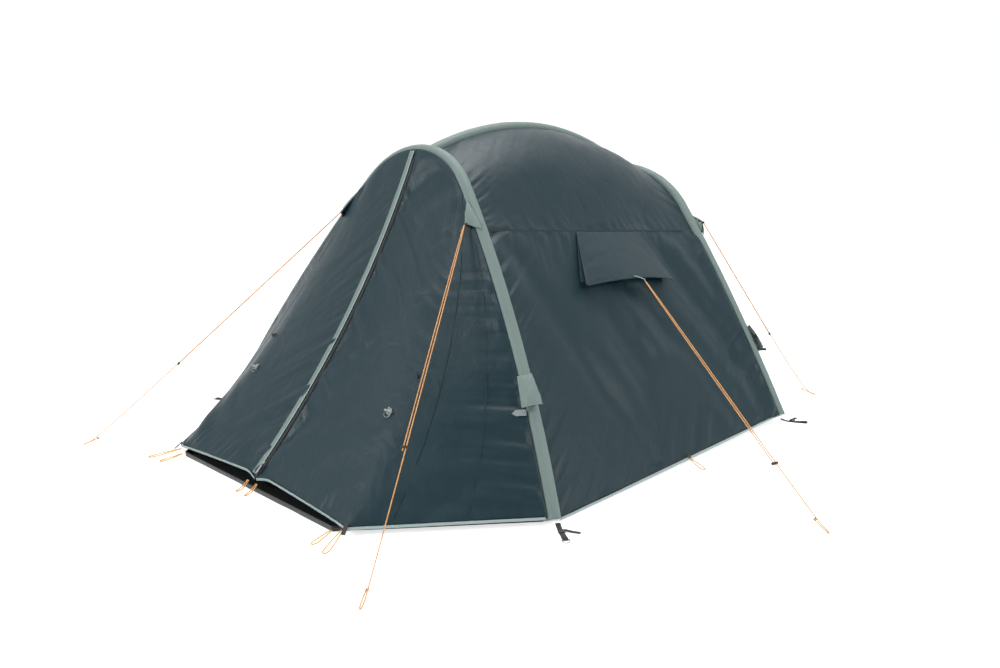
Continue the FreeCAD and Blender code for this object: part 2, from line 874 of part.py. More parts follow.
peg_loops = {
    "corner_loop": ((646, -612, 24), (0.45, -0.90), 150, 26),
    "sheet_loop": ((600, -632, 14), (0.18, -0.98), 105, 24),
    "side_loop": ((1242, 915, 26), (0.98, -0.2), 95, 24),
}


def zip_loop(side):
    """The elastic loop that hangs from one side of the zip's foot: its route."""
    middle = V(side * zip_loop_x, zip_loop_y, zip_loop_height)
    near = (V(4, 0, 0), V(7, -15, -16), V(8, -42, -32), V(3.5, -62, -34))
    left = [middle + V(-step.x, step.y, step.z) for step in near]
    return left + [middle + step for step in reversed(near)]


# --- Door toggles ---


def toggle_place(side):
    """Where a door toggle sits in front of the porch, and the way the porch faces there."""
    place = door_point(side, toggle_across, toggle_share)
    return place - inward * toggle_stand


def toggle(side):
    """The bar that holds the rolled-up door, with a neck towards the porch."""
    place = toggle_place(side)
    start = place - V(toggle_length / 2, 0, 0)
    bar = Part.makeCylinder(toggle_radius, toggle_length, start, V(1, 0, 0))
    neck = Part.makeCylinder(toggle_neck_radius, toggle_stand - seam_gap, place, inward)
    return bar.fuse(neck)


# --- Inner tent ---


def inner_outline(inset, y):
    """The inner tent's cross-section at one length, drawn in by inset on its sides and top."""
    right = [
        V(inner_floor_half_width - inset, y, inner_floor_height),
        V(inner_wall_half_width - inset, y, inner_wall_height),
        V(inner_shoulder_half_width - inset, y, inner_shoulder_height - inset),
    ]
    return right + [V(0, y, inner_peak_height - inset)] + [mirrored(point, -1) for point in reversed(right)]


def inner_door_outline(gap, y):
    """The inner door's outline in the front wall."""
    half = inner_door_half_width - gap
    top = inner_door_top - gap
    low = inner_door_sill + gap
    bend = inner_door_corner
    outline = [(-half, low), (half, low), (half, top - bend), (half - bend, top), (bend - half, top)]
    return [V(x, y, z) for x, z in outline + [(-half, top - bend)]]


def inner_tent():
    """The inner tent: a thin canopy that stands open at the bottom, with a door hole in front."""
    depth = inner_rear_y - inner_front_y
    clear_depth = depth - 2 * inner_wall
    solid = prism(inner_outline(0, inner_front_y), V(0, depth, 0))
    hollow = prism(inner_outline(inner_wall, inner_front_y + inner_wall), V(0, clear_depth, 0))
    middle = V(0, (inner_front_y + inner_rear_y) / 2, inner_floor_height)
    under_sizes = (2 * inner_floor_half_width - 4 * inner_wall, clear_depth, 3 * inner_wall)
    under = block(middle, V(1, 0, 0), V(0, 1, 0), under_sizes)
    door = prism(inner_door_outline(0, inner_front_y - inner_wall), V(0, 4 * inner_wall, 0))
    return solid.cut(hollow).cut(under).cut(door)


def inner_door():
    """The inner tent's door, in its hole."""
    return prism(inner_door_outline(inner_door_gap, inner_front_y), V(0, inner_wall, 0))


# --- Build ---


def build_tent():
    """Write every node."""
    export("beam_front", arch_beam(front))
    export("beam_rear", arch_beam(rear))
    spine = [spine_arc()]
    export("beam_spine", pipe(spine, beam_radius))
    export("sleeve_front", arch_sleeve(front))
    export("sleeve_rear", arch_sleeve(rear))
    export("sleeve_spine", pipe(spine, sleeve_radius).cut(pipe(spine, sleeve_radius - sleeve_wall)))
    export("rear_wall", rear_wall())
    export("groundsheet", groundsheet())
    export("hem_tapes", *hem_tapes())
    export("vent_meshes", *[vent_mesh(side) for side in (-1, 1)])
    export("storm_flap", storm_flap())
    export("zip_slider", zip_slider())
    export("zip_pull", zip_pull())
    export("inner_tent", inner_tent())
    export("inner_door", inner_door())
    for word, side in (("right", 1), ("left", -1)):
        export("roof_" + word, roof(side))
        export("side_wall_" + word, side_wall(side))
        export("porch_side_" + word, porch_side(side))
        export("door_head_" + word, door_head(side))
        export("door_" + word, door_flap(side))
        export("zip_tape_" + word, zip_tape(side))
        export("vent_hood_" + word, vent_hood(side))
        export("toggle_" + word, toggle(side))
        export("foot_ring_front_" + word, foot_ring(front, side, front_strap_heading))
        for guy in guys:
            export("runner_" + guy.name + "_" + word, runner(guy, side))
            label = "guyline_" + guy.name + "_" + word
            export(label, cord(guy.points(side), cord_diameter, label))
        for name, (base, heading, reach, spread) in peg_loops.items():
            label = name + "_" + word
            route = [mirrored(point, side) for point in peg_loop(base, heading, reach, spread)]
            export(label, cord(route, loop_diameter, label))
        label = "zip_loop_" + word
        export(label, cord(zip_loop(side), loop_diameter, label))
    straps = []
    gussets = []
    for side in (-1, 1):
        straps.append(foot_strap(front, side, front_strap_heading))
        straps.append(foot_strap(rear, side, rear_strap_heading))
        gussets.append(gusset(front, gusset_share_front, guys[0], side, -1))
        gussets.append(gusset(rear, gusset_share_rear, guys[2], side, 1))
    export("foot_straps", *straps)
    export("guy_gussets", *gussets)
    valve_bodies = [
        valve_body(front, valve_share_front, valve_turn_front),
        valve_body(rear, valve_share_rear, valve_turn_rear),
    ]
    export("valve_bodies", *valve_bodies)
    export("valve_cap_front", valve_cap(front, valve_share_front, valve_turn_front))
    export("valve_cap_rear", valve_cap(rear, valve_share_rear, valve_turn_rear))
    export("valve_flap_front", valve_flap(front, valve_share_front, valve_turn_front))
    export("valve_flap_rear", valve_flap(rear, valve_share_rear, valve_turn_rear))


os.makedirs("parts", exist_ok=True)
build_tent()
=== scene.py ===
"""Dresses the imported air-beam tent: sleeves, fly sheet, door, vents, guylines, ground, inner tent, studio."""

import logging
import math
from dataclasses import dataclass
from enum import Enum
from functools import cached_property
from typing import Callable

import bmesh
import bpy
from mathutils import Matrix, Vector, noise


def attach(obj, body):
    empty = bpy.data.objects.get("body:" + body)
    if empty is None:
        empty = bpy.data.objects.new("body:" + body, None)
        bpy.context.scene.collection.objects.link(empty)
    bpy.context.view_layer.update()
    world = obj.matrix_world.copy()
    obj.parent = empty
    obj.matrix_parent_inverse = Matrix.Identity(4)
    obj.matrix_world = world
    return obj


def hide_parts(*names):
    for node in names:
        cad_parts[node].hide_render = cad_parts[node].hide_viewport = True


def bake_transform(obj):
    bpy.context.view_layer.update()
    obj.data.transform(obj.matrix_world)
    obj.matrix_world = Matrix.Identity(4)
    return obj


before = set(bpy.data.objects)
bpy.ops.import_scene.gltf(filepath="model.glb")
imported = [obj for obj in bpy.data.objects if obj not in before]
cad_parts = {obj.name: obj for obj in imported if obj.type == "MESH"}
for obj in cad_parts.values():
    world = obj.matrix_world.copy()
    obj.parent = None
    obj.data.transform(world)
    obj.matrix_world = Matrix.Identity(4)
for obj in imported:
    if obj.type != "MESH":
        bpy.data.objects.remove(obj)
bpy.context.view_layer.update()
LOG = logging.getLogger("tent")
UP = Vector((0, 0, 1))
Place = Callable[[float, float], Vector]
Relief = Callable[[float, float, Vector], float]


# --- Small helpers ---


def mix(a: Vector, b: Vector, share: float) -> Vector:
    """The point at a share of the way from a to b."""
    return a + (b - a) * share


def flip(point: Vector, side: int) -> Vector:
    """The point on the right for side 1, and its mirror image on the left for side -1."""
    return Vector((side * point[0], point[1], point[2]))


def smooth(low: float, high: float, value: float) -> float:
    """0 below low, 1 above high and an even curve between them."""
    share = min(1.0, max(0.0, (value - low) / (high - low)))
    return share * share * (3 - 2 * share)


def word(side: int) -> str:
    """The name of a side."""
    return "right" if side > 0 else "left"


def swell(x: float, y: float, z: float) -> float:
    """Even noise from -1 to 1."""
    return noise.noise(Vector((x, y, z)))


# --- Shader tools ---


class Value:
    """A shader socket that Python's arithmetic signs work on."""

    def __init__(self, paint: "Paint", socket: bpy.types.NodeSocket) -> None:
        """Wraps one output socket."""
        self.paint = paint
        self.socket = socket

    def _math(self, operation: str, first: object, second: object) -> "Value":
        """Adds one Math node.

        Args:
            operation: the Math node's operation.
            first: a Value or a number.
            second: a Value or a number.

        Returns:
            The node's result.
        """
        made = self.paint.node("ShaderNodeMath", {"operation": operation}, {0: first, 1: second})
        return self.paint.out(made)

    def __add__(self, other: object) -> "Value":
        """self + other."""
        return self._math("ADD", self, other)

    __radd__ = __add__

    def __sub__(self, other: object) -> "Value":
        """self - other."""
        return self._math("SUBTRACT", self, other)

    def __rsub__(self, other: object) -> "Value":
        """other - self."""
        return self._math("SUBTRACT", other, self)

    def __mul__(self, other: object) -> "Value":
        """self times other."""
        return self._math("MULTIPLY", self, other)

    __rmul__ = __mul__

    def __pow__(self, other: object) -> "Value":
        """self to the power of other."""
        return self._math("POWER", self, other)

    def above(self, level: float) -> "Value":
        """1 where self is over a level, and 0 elsewhere."""
        return self._math("GREATER_THAN", self, level)

    def wave(self) -> "Value":
        """The sine of self."""
        return self._math("SINE", self, 0.0)

    def size(self) -> "Value":
        """self without its sign."""
        return self._math("ABSOLUTE", self, 0.0)


class Paint:
    """A new material, or the world, and the nodes in it."""

    def __init__(self, name: str, world: bpy.types.World | None = None) -> None:
        """Empties the world's nodes, or makes an empty node material."""
        self.material = world or bpy.data.materials.new(name)
        self.material.use_nodes = True
        self.tree = self.material.node_tree
        self.tree.nodes.clear()

    def node(self, kind: str, settings: dict | None = None, inputs: dict | None = None) -> bpy.types.Node:
        """Adds a node.

        Args:
            kind: the node's type.
            settings: its own settings, set first; "stops" gives a ramp's places and colours.
            inputs: values, Values or colours for its sockets, by name or number.

        Returns:
            The node.
        """
        made = self.tree.nodes.new(kind)
        for key, value in (settings or {}).items():
            if key == "stops":
                for index, (place, colour) in enumerate(value):
                    ramp = made.color_ramp.elements
                    stop = ramp[index] if index < len(ramp) else ramp.new(place)
                    stop.position = place
                    stop.color = (*colour, 1.0)
            else:
                setattr(made, key, value)
        for key, value in (inputs or {}).items():
            if isinstance(value, Value):
                self.tree.links.new(value.socket, made.inputs[key])
            elif isinstance(value, tuple) and len(value) == 3 and made.inputs[key].type == "RGBA":
                made.inputs[key].default_value = (*value, 1.0)
            else:
                made.inputs[key].default_value = value
        return made

    def out(self, made: bpy.types.Node, key: object = 0) -> Value:
        """One output of a node."""
        return Value(self, made.outputs[key])

    def place(self, kind: str, scale: tuple[float, float, float] = (1, 1, 1)) -> Value:
        """Coordinates in metres, Object or UV, stretched by a scale."""
        source = self.out(self.node("ShaderNodeTexCoord"), kind)
        return self.out(self.node("ShaderNodeMapping", None, {"Vector": source, "Scale": scale}))

    def grain(self, at: Value, scale: float, detail: float = 3.0, warp: float = 0.0) -> Value:
        """Noise from 0 to 1."""
        values = {"Vector": at, "Scale": scale, "Detail": detail, "Distortion": warp}
        return self.out(self.node("ShaderNodeTexNoise", None, values), 0)

    def axes(self, at: Value) -> tuple[Value, Value, Value]:
        """The three parts of a vector."""
        split = self.node("ShaderNodeSeparateXYZ", None, {0: at})
        return self.out(split, 0), self.out(split, 1), self.out(split, 2)

    def tint(self, share: Value, low: tuple, high: tuple) -> Value:
        """A colour that goes from low to high with a share."""
        made = self.node("ShaderNodeMix", {"data_type": "RGBA"}, {0: share, 6: low, 7: high})
        return self.out(made, 2)

    def bump(self, height: Value, distance: float, strength: float = 1.0,
             under: Value | None = None) -> Value:
        """A bumped normal, on top of another one where that is given."""
        values = {"Height": height, "Distance": distance, "Strength": strength}
        if under is not None:
            values["Normal"] = under
        return self.out(self.node("ShaderNodeBump", None, values))

    def weave(self, at: Value, threads: float) -> Value:
        """A plain weave: threads that pass over and under each other, per metre."""
        across, along, _ = self.axes(at)
        turn = 2 * math.pi * threads
        return (across * turn).wave() * (along * turn).wave()

    def close(self, inputs: dict) -> bpy.types.Material:
        """Adds the shader and the output, and returns the material."""
        shader = self.node("ShaderNodeBsdfPrincipled", None, inputs)
        self.node("ShaderNodeOutputMaterial", None, {"Surface": self.out(shader)})
        return self.material


@dataclass(frozen=True)
class Finish:
    """A named finish that makes its material once."""

    name: str
    low: tuple[float, float, float]
    high: tuple[float, float, float]
    roughness: float

    def material(self) -> bpy.types.Material:
        """The finish's material, made at its first use."""
        found = bpy.data.materials.get(self.name)
        return found or self.paint()

    def paint(self) -> bpy.types.Material:
        """Makes the material."""
        raise NotImplementedError


@dataclass(frozen=True)
class CoatedCloth(Finish):
    """Coated polyester: a fine weave, soft creases and a satin face."""

    threads: float = 1400.0
    crease: float = 0.0022
    gloss: float = 0.3

    def paint(self) -> bpy.types.Material:
        """Makes the cloth."""
        paint = Paint(self.name)
        flat = paint.place("UV")
        solid = paint.place("Object")
        patches = paint.grain(solid, 2.2, 4.0, 0.4)
        specks = paint.grain(flat, 900.0, 2.0)
        folds = paint.grain(paint.place("Object", (1, 1, 0.55)), 9.0, 5.0, 1.2)
        base = paint.bump(folds, self.crease)
        normal = paint.bump(paint.weave(flat, self.threads), 0.00012, 0.5, base)
        return paint.close({
            "Base Color": paint.tint(patches * 0.75 + specks * 0.25, self.low, self.high),
            "Roughness": self.roughness + (folds - 0.5) * 0.25,
            "Specular IOR Level": self.gloss,
            "Normal": normal,
        })


@dataclass(frozen=True)
class Braid(Finish):
    """Round braided cord with flecks of a second colour."""

    turns: float = 260.0

    def paint(self) -> bpy.types.Material:
        """Makes the braid."""
        paint = Paint(self.name)
        across, along, up = paint.axes(paint.place("Object"))
        turn = 2 * math.pi * self.turns
        first = ((across + along + up) * turn).wave()
        second = ((across - along + up * 1.3) * turn).wave()
        strands = first * second
        fleck = paint.grain(paint.place("Object"), 420.0, 2.0)
        return paint.close({
            "Base Color": paint.tint((strands * 0.35 + fleck).above(0.52), self.low, self.high),
            "Roughness": self.roughness + fleck * 0.1,
            "Sheen Weight": 0.2,
            "Normal": paint.bump(strands, 0.0006),
        })


@dataclass(frozen=True)
class Webbing(Finish):
    """Woven tape with ribs across it."""

    ribs: float = 420.0

    def paint(self) -> bpy.types.Material:
        """Makes the tape."""
        paint = Paint(self.name)
        flat = paint.place("UV")
        across, along, _ = paint.axes(flat)
        turn = 2 * math.pi * self.ribs
        ribs = (along * turn + (across * turn * 0.5).wave() * 1.2).wave()
        dust = paint.grain(paint.place("Object"), 60.0, 4.0)
        return paint.close({
            "Base Color": paint.tint(dust * 0.6 + ribs * 0.2 + 0.2, self.low, self.high),
            "Roughness": self.roughness + dust * 0.1,
            "Specular IOR Level": 0.3,
            "Normal": paint.bump(ribs, 0.0004),
        })


@dataclass(frozen=True)
class Moulded(Finish):
    """Moulded or cast stuff: plastic or metal with a fine grain."""

    metal: float = 0.0
    grain: float = 700.0
    depth: float = 0.0001

    def paint(self) -> bpy.types.Material:
        """Makes the finish."""
        paint = Paint(self.name)
        solid = paint.place("Object")
        fine = paint.grain(solid, self.grain, 3.0)
        wear = paint.grain(solid, 45.0, 5.0, 0.6)
        return paint.close({
            "Base Color": paint.tint(wear, self.low, self.high),
            "Metallic": self.metal,
            "Roughness": self.roughness + wear * 0.15,
            "Normal": paint.bump(fine, self.depth),
        })


@dataclass(frozen=True)
class Netting(Finish):
    """Fine mosquito mesh with open holes."""

    pitch: float = 0.0016

    def paint(self) -> bpy.types.Material:
        """Makes the mesh."""
        paint = Paint(self.name)
        across, along, _ = paint.axes(paint.place("UV"))
        turn = math.pi / self.pitch
        wires = ((across * turn).wave().size() ** 2) * ((along * turn).wave().size() ** 2)
        return paint.close({
            "Base Color": paint.tint(wires, self.low, self.high),
            "Roughness": self.roughness,
            "Alpha": 1 - wires.above(0.35) * 0.8,
        })


@dataclass(frozen=True)
class Paper(Finish):
    """The pale studio floor."""

    def paint(self) -> bpy.types.Material:
        """Makes the floor."""
        paint = Paint(self.name)
        fine = paint.grain(paint.place("Object"), 30.0, 3.0)
        return paint.close({
            "Base Color": paint.tint(fine, self.low, self.high),
            "Roughness": self.roughness + fine * 0.05,
            "Specular IOR Level": 0.1,
            "Emission Color": (1.0, 1.0, 1.0),
            "Emission Strength": 0.72,
        })


class Finishes(Enum):
    """Every finish of the tent and the studio."""

    FLY = CoatedCloth("fly_cloth_finish", (0.0085, 0.0255, 0.0330), (0.0145, 0.0350, 0.0430),
                      0.40, 1400.0, 0.0034, 0.26)
    SLEEVE = CoatedCloth("sleeve_cloth_finish", (0.130, 0.180, 0.168), (0.175, 0.228, 0.212),
                         0.52, 1200.0, 0.0014, 0.3)
    HEM = CoatedCloth("hem_tape_finish", (0.260, 0.330, 0.330), (0.330, 0.400, 0.395),
                      0.55, 900.0, 0.0006, 0.3)
    GROUND = CoatedCloth("groundsheet_finish", (0.010, 0.011, 0.012), (0.018, 0.020, 0.021),
                         0.38, 500.0, 0.003, 0.4)
    INNER = CoatedCloth("inner_cloth_finish", (0.42, 0.44, 0.42), (0.52, 0.53, 0.50),
                        0.65, 1600.0, 0.001, 0.2)
    # SHADOW is a near-black cloth of painted shade, laid in the gussets' open mouths where only shade falls; it
    # is not a real lining.
    SHADOW = CoatedCloth("dark_lining_finish", (0.006, 0.008, 0.009), (0.009, 0.011, 0.012),
                         0.7, 1400.0, 0.001, 0.15)
    ZIP = Webbing("zip_tape_finish", (0.010, 0.011, 0.012), (0.022, 0.024, 0.025), 0.55, 500.0)
    STRAP = Webbing("webbing_finish", (0.030, 0.032, 0.032), (0.060, 0.063, 0.062), 0.6)
    LIGHT_TAPE = Webbing("light_tape_finish", (0.20, 0.25, 0.25), (0.30, 0.35, 0.34), 0.6)
    ORANGE = Braid("orange_cord_finish", (0.72, 0.26, 0.055), (0.80, 0.46, 0.16), 0.6)
    YELLOW = Braid("yellow_cord_finish", (0.78, 0.40, 0.06), (0.80, 0.55, 0.16), 0.6)
    ELASTIC = Braid("elastic_loop_finish", (0.74, 0.33, 0.07), (0.80, 0.45, 0.12), 0.55)
    RUNNER = Moulded("runner_plastic_finish", (0.012, 0.009, 0.008), (0.022, 0.017, 0.014), 0.42)
    TOGGLE = Moulded("toggle_plastic_finish", (0.20, 0.23, 0.23), (0.28, 0.31, 0.31), 0.4)
    VALVE = Moulded("valve_plastic_finish", (0.030, 0.034, 0.036), (0.045, 0.050, 0.052), 0.45)
    METAL = Moulded("zip_metal_finish", (0.42, 0.43, 0.44), (0.58, 0.59, 0.60), 0.28, 1.0, 300.0, 0.00005)
    RING = Moulded("ring_metal_finish", (0.30, 0.30, 0.30), (0.45, 0.45, 0.45), 0.35, 1.0, 300.0, 0.00008)
    AIR = Moulded("air_tube_finish", (0.30, 0.33, 0.34), (0.38, 0.41, 0.42), 0.35, 0.0, 40.0, 0.0006)
    MESH = Netting("vent_mesh_finish", (0.012, 0.012, 0.012), (0.02, 0.02, 0.02), 0.6)
    FLOOR = Paper("studio_floor_finish", (0.62, 0.62, 0.62), (0.66, 0.66, 0.66), 0.8)


@dataclass(frozen=True)
class Dress:
    """How a finished piece is dressed: its finish, slot, body and the CAD nodes that it stands for."""

    finish: Finishes
    slot: str
    body: str = "tent"
    stands_for: tuple[str, ...] = ()


WEBBING = Dress(Finishes.STRAP, "webbing")


# --- The tent's lines ---


@dataclass(frozen=True)
class Arch:
    """A leaning arch: a crown arc with two legs that curve on from it down to the ground."""

    half_width: float
    height: float
    lean: float
    foot_y: float
    crown_radius: float
    crown_angle: float
    foot_height: float = 0.022

    @cached_property
    def rise(self) -> float:
        """The arch's height in its own plane."""
        return math.hypot(self.height, self.lean)

    @cached_property
    def up(self) -> Vector:
        """Up, in the arch's plane."""
        return Vector((0, self.lean, self.height)) / self.rise

    @cached_property
    def back(self) -> Vector:
        """Out of the arch's plane, towards the rear."""
        return Vector((0, self.height, -self.lean)) / self.rise

    @cached_property
    def leg(self) -> tuple[float, float, float, float]:
        """The shoulder's x and height, the leg's radius and how far the leg turns."""
        shoulder_x = self.crown_radius * math.sin(self.crown_angle)
        shoulder_h = self.rise - self.crown_radius * (1 - math.cos(self.crown_angle))
        reach = self.half_width - shoulder_x
        drop = shoulder_h - self.foot_height
        half_turn = math.atan2(drop, reach) - self.crown_angle
        return shoulder_x, shoulder_h, math.hypot(reach, drop) / (2 * math.sin(half_turn)), 2 * half_turn

    @cached_property
    def length(self) -> float:
        """The length of half the arch."""
        return self.crown_radius * self.crown_angle + self.leg[2] * self.leg[3]

    def clear(self, half_gap: float) -> float:
        """The share of the half arch that a gap at the crown takes up."""
        return math.asin(half_gap / self.crown_radius) * self.crown_radius / self.length

    def angle(self, share: float) -> float:
        """How far the arch has turned at a share of its half length: 0 at the crown, 1 at a foot."""
        run = share * self.length
        crown = self.crown_radius * self.crown_angle
        if run < crown:
            return run / self.crown_radius
        return self.crown_angle + (run - crown) / self.leg[2]

    def point(self, share: float, side: int = 1, out: float = 0.0, along: float = 0.0) -> Vector:
        """The point at a share of the half arch, moved outwards and along the tent."""
        turn = self.angle(share)
        if turn < self.crown_angle:
            x = (self.crown_radius + out) * math.sin(turn)
            h = self.rise - self.crown_radius + (self.crown_radius + out) * math.cos(turn)
        else:
            shoulder_x, shoulder_h, radius, _ = self.leg
            x = shoulder_x + radius * (math.sin(turn) - math.sin(self.crown_angle)) + out * math.sin(turn)
            h = shoulder_h + radius * (math.cos(turn) - math.cos(self.crown_angle)) + out * math.cos(turn)
        return Vector((side * x, self.foot_y, 0)) + self.up * h + self.back * along

    def outward(self, share: float, side: int = 1) -> Vector:
        """The unit direction out of the arch, in its plane."""
        turn = self.angle(share)
        return Vector((side * math.sin(turn), 0, 0)) + self.up * math.cos(turn)

    def downward(self, share: float, side: int = 1) -> Vector:
        """The unit direction along the arch towards a foot."""
        turn = self.angle(share)
        return Vector((side * math.cos(turn), 0, 0)) - self.up * math.sin(turn)


@dataclass(frozen=True)
class Lines:
    """The tent's arches and the surfaces between them, as the CAD has them, in metres."""

    sleeve: float = 0.0325
    seam: float = 0.001
    sheet: float = 0.002
    hem_height: float = 0.042
    hem_share: float = 0.99
    wall_sag: float = 0.025
    front_seam: float = 0.32
    rear_seam: float = 0.38
    porch_reach: float = 0.600
    porch_half: float = 0.660
    porch_sag: float = 0.080
    crease: float = 0.22
    ridge_centre_y: float = 1.1036
    ridge_centre_z: float = -0.3147
    ridge_radius: float = 1.83268
    front: Arch = Arch(1.186, 1.415, 0.425, 0.0, 0.425, math.radians(50))
    rear: Arch = Arch(1.265, 1.268, 0.292, 1.760, 0.620, math.radians(50))

    @property
    def rim(self) -> float:
        """From an arch's middle to the cloth that is sewn to its sleeve."""
        return self.sleeve + self.seam

    @cached_property
    def zip_top(self) -> Vector:
        """The top of the zip."""
        return self.front.point(0, 1, 0, -self.rim - self.sheet)

    @cached_property
    def zip_foot(self) -> Vector:
        """The foot of the zip."""
        return Vector((0, -self.porch_reach, self.hem_height))

    @cached_property
    def corner(self) -> Vector:
        """The right corner of the porch."""
        return Vector((self.porch_half, -self.porch_reach, self.hem_height))

    @cached_property
    def inward(self) -> Vector:
        """Square to the door, into the porch."""
        line = (self.zip_foot - self.zip_top).normalized()
        return Vector((0, -line.z, line.y))

    def ridge(self, y: float) -> float:
        """The ridge's height at one place."""
        return self.ridge_centre_z + math.sqrt(self.ridge_radius ** 2 - (y - self.ridge_centre_y) ** 2)

    def roof(self, side: int, u: float, v: float) -> Vector:
        """The roof, u from the front arch to the rear one and v from the ridge to the seam."""
        front_start, rear_start = self.front.clear(self.rim), self.rear.clear(self.rim)
        near = self.front.point(front_start + (self.front_seam - front_start) * v, side, 0, self.rim)
        far = self.rear.point(rear_start + (self.rear_seam - rear_start) * v, side, 0, -self.rim)
        middle = mix(self.front.point(0, 1, 0, self.rim), self.rear.point(0, 1, 0, -self.rim), u)
        lift = (self.ridge(middle.y) - middle.z) * max(0.0, 1 - v * v) ** 2
        return mix(near, far, u) + UP * lift

    def wall(self, side: int, u: float, v: float) -> Vector:
        """The side wall, u from the front arch to the rear one and v from the seam to the hem."""
        head = self.front.point(self.front_seam + (self.hem_share - self.front_seam) * v, side, 0, self.rim)
        tail = self.rear.point(self.rear_seam + (self.hem_share - self.rear_seam) * v, side, 0, -self.rim)
        sag = self.wall_sag * 4 * u * (1 - u) * math.sin(math.pi * v)
        return mix(head, tail, u) - Vector((side * sag, 0, 0))

    def wall_at(self, side: int, y: float, drop: float) -> Vector:
        """The point of the side wall at one length and at a drop below the seam."""
        u = v = 0.0
        for _ in range(10):
            point = self.wall(side, u, v)
            u += (y - point.y) / (self.wall(side, 1, v).y - self.wall(side, 0, v).y)
            fall = (self.wall(side, u, 0) - self.wall(side, u, v)).length
            v += (drop - fall) / (self.wall(side, u, 1) - self.wall(side, u, 0)).length
        return self.wall(side, u, v)

    def door(self, side: int, u: float, v: float) -> Vector:
        """One half of the porch front, u from the zip to the crease and v from the crown to the hem."""
        top = self.front.point(self.crease * u, side, 0, -self.rim - self.sheet)
        bottom = flip(mix(self.zip_foot, self.corner, u), side)
        return mix(top, bottom, v) + self.inward * (self.porch_sag * 4 * v * (1 - v))

    def porch_side(self, side: int, u: float, v: float) -> Vector:
        """One side of the porch, u from the crease to the arch leg and v from the top to the hem."""
        share = self.crease + (self.hem_share - self.crease) * v
        leg = self.front.point(share, side, 0, -self.rim - self.sheet)
        return mix(self.door(side, 1, v), leg, u)

    def porch(self, side: int, t: float, v: float) -> Vector:
        """Half the porch as one cloth: t is 0 at the zip, 1 at the crease and 2 at the arch leg."""

        def sharp(at: float) -> Vector:
            """The same cloth with a sharp crease."""
            return self.door(side, at, v) if at < 1 else self.porch_side(side, at - 1, v)

        soft = 0.03 + 0.24 * max(0.0, 1 - v) ** 0.8
        if abs(t - 1) >= soft:
            return sharp(t)
        s = (t - 1 + soft) / (2 * soft)
        return mix(mix(sharp(1 - soft), sharp(1), s), mix(sharp(1), sharp(1 + soft), s), s)


@dataclass(frozen=True)
class Gather:
    """Short wrinkles that run out from a seam and fade away from it."""

    depth: float
    pitch: float
    reach: float
    slope: float
    seed: float

    def at(self, along: float, away: float) -> float:
        """The cloth's lift at a distance along the seam and away from it, in metres."""
        fade = math.exp(-((away / self.reach) ** 1.3)) * smooth(0.0, 0.03, away)
        if fade < 0.01:
            return 0.0
        step = (along + self.slope * away) / self.pitch
        run = away / (self.reach * 2.2)
        wide = swell(step, run, self.seed)
        fine = swell(step * 2.3, run * 1.5, self.seed + 9.1)
        patch = 0.55 + 0.45 * swell(along / (self.pitch * 5), self.seed, 3.3)
        return self.depth * fade * patch * (1.6 * wide + 0.7 * fine)


@dataclass(frozen=True)
class Drift:
    """Long folds that run in one direction over a cloth."""

    depth: float
    pitch: float
    length: float
    turn: float
    seed: float

    def at(self, x: float, y: float) -> float:
        """The cloth's lift at a place on it, in metres."""
        across = x * math.cos(self.turn) + y * math.sin(self.turn)
        along = -x * math.sin(self.turn) + y * math.cos(self.turn)
        fold = swell(across / self.pitch, along / self.length, self.seed)
        patch = smooth(-0.25, 0.35, swell(x / 0.5, y / 0.5, self.seed + 4.4))
        return self.depth * fold * patch * 1.5


# --- Making pieces ---


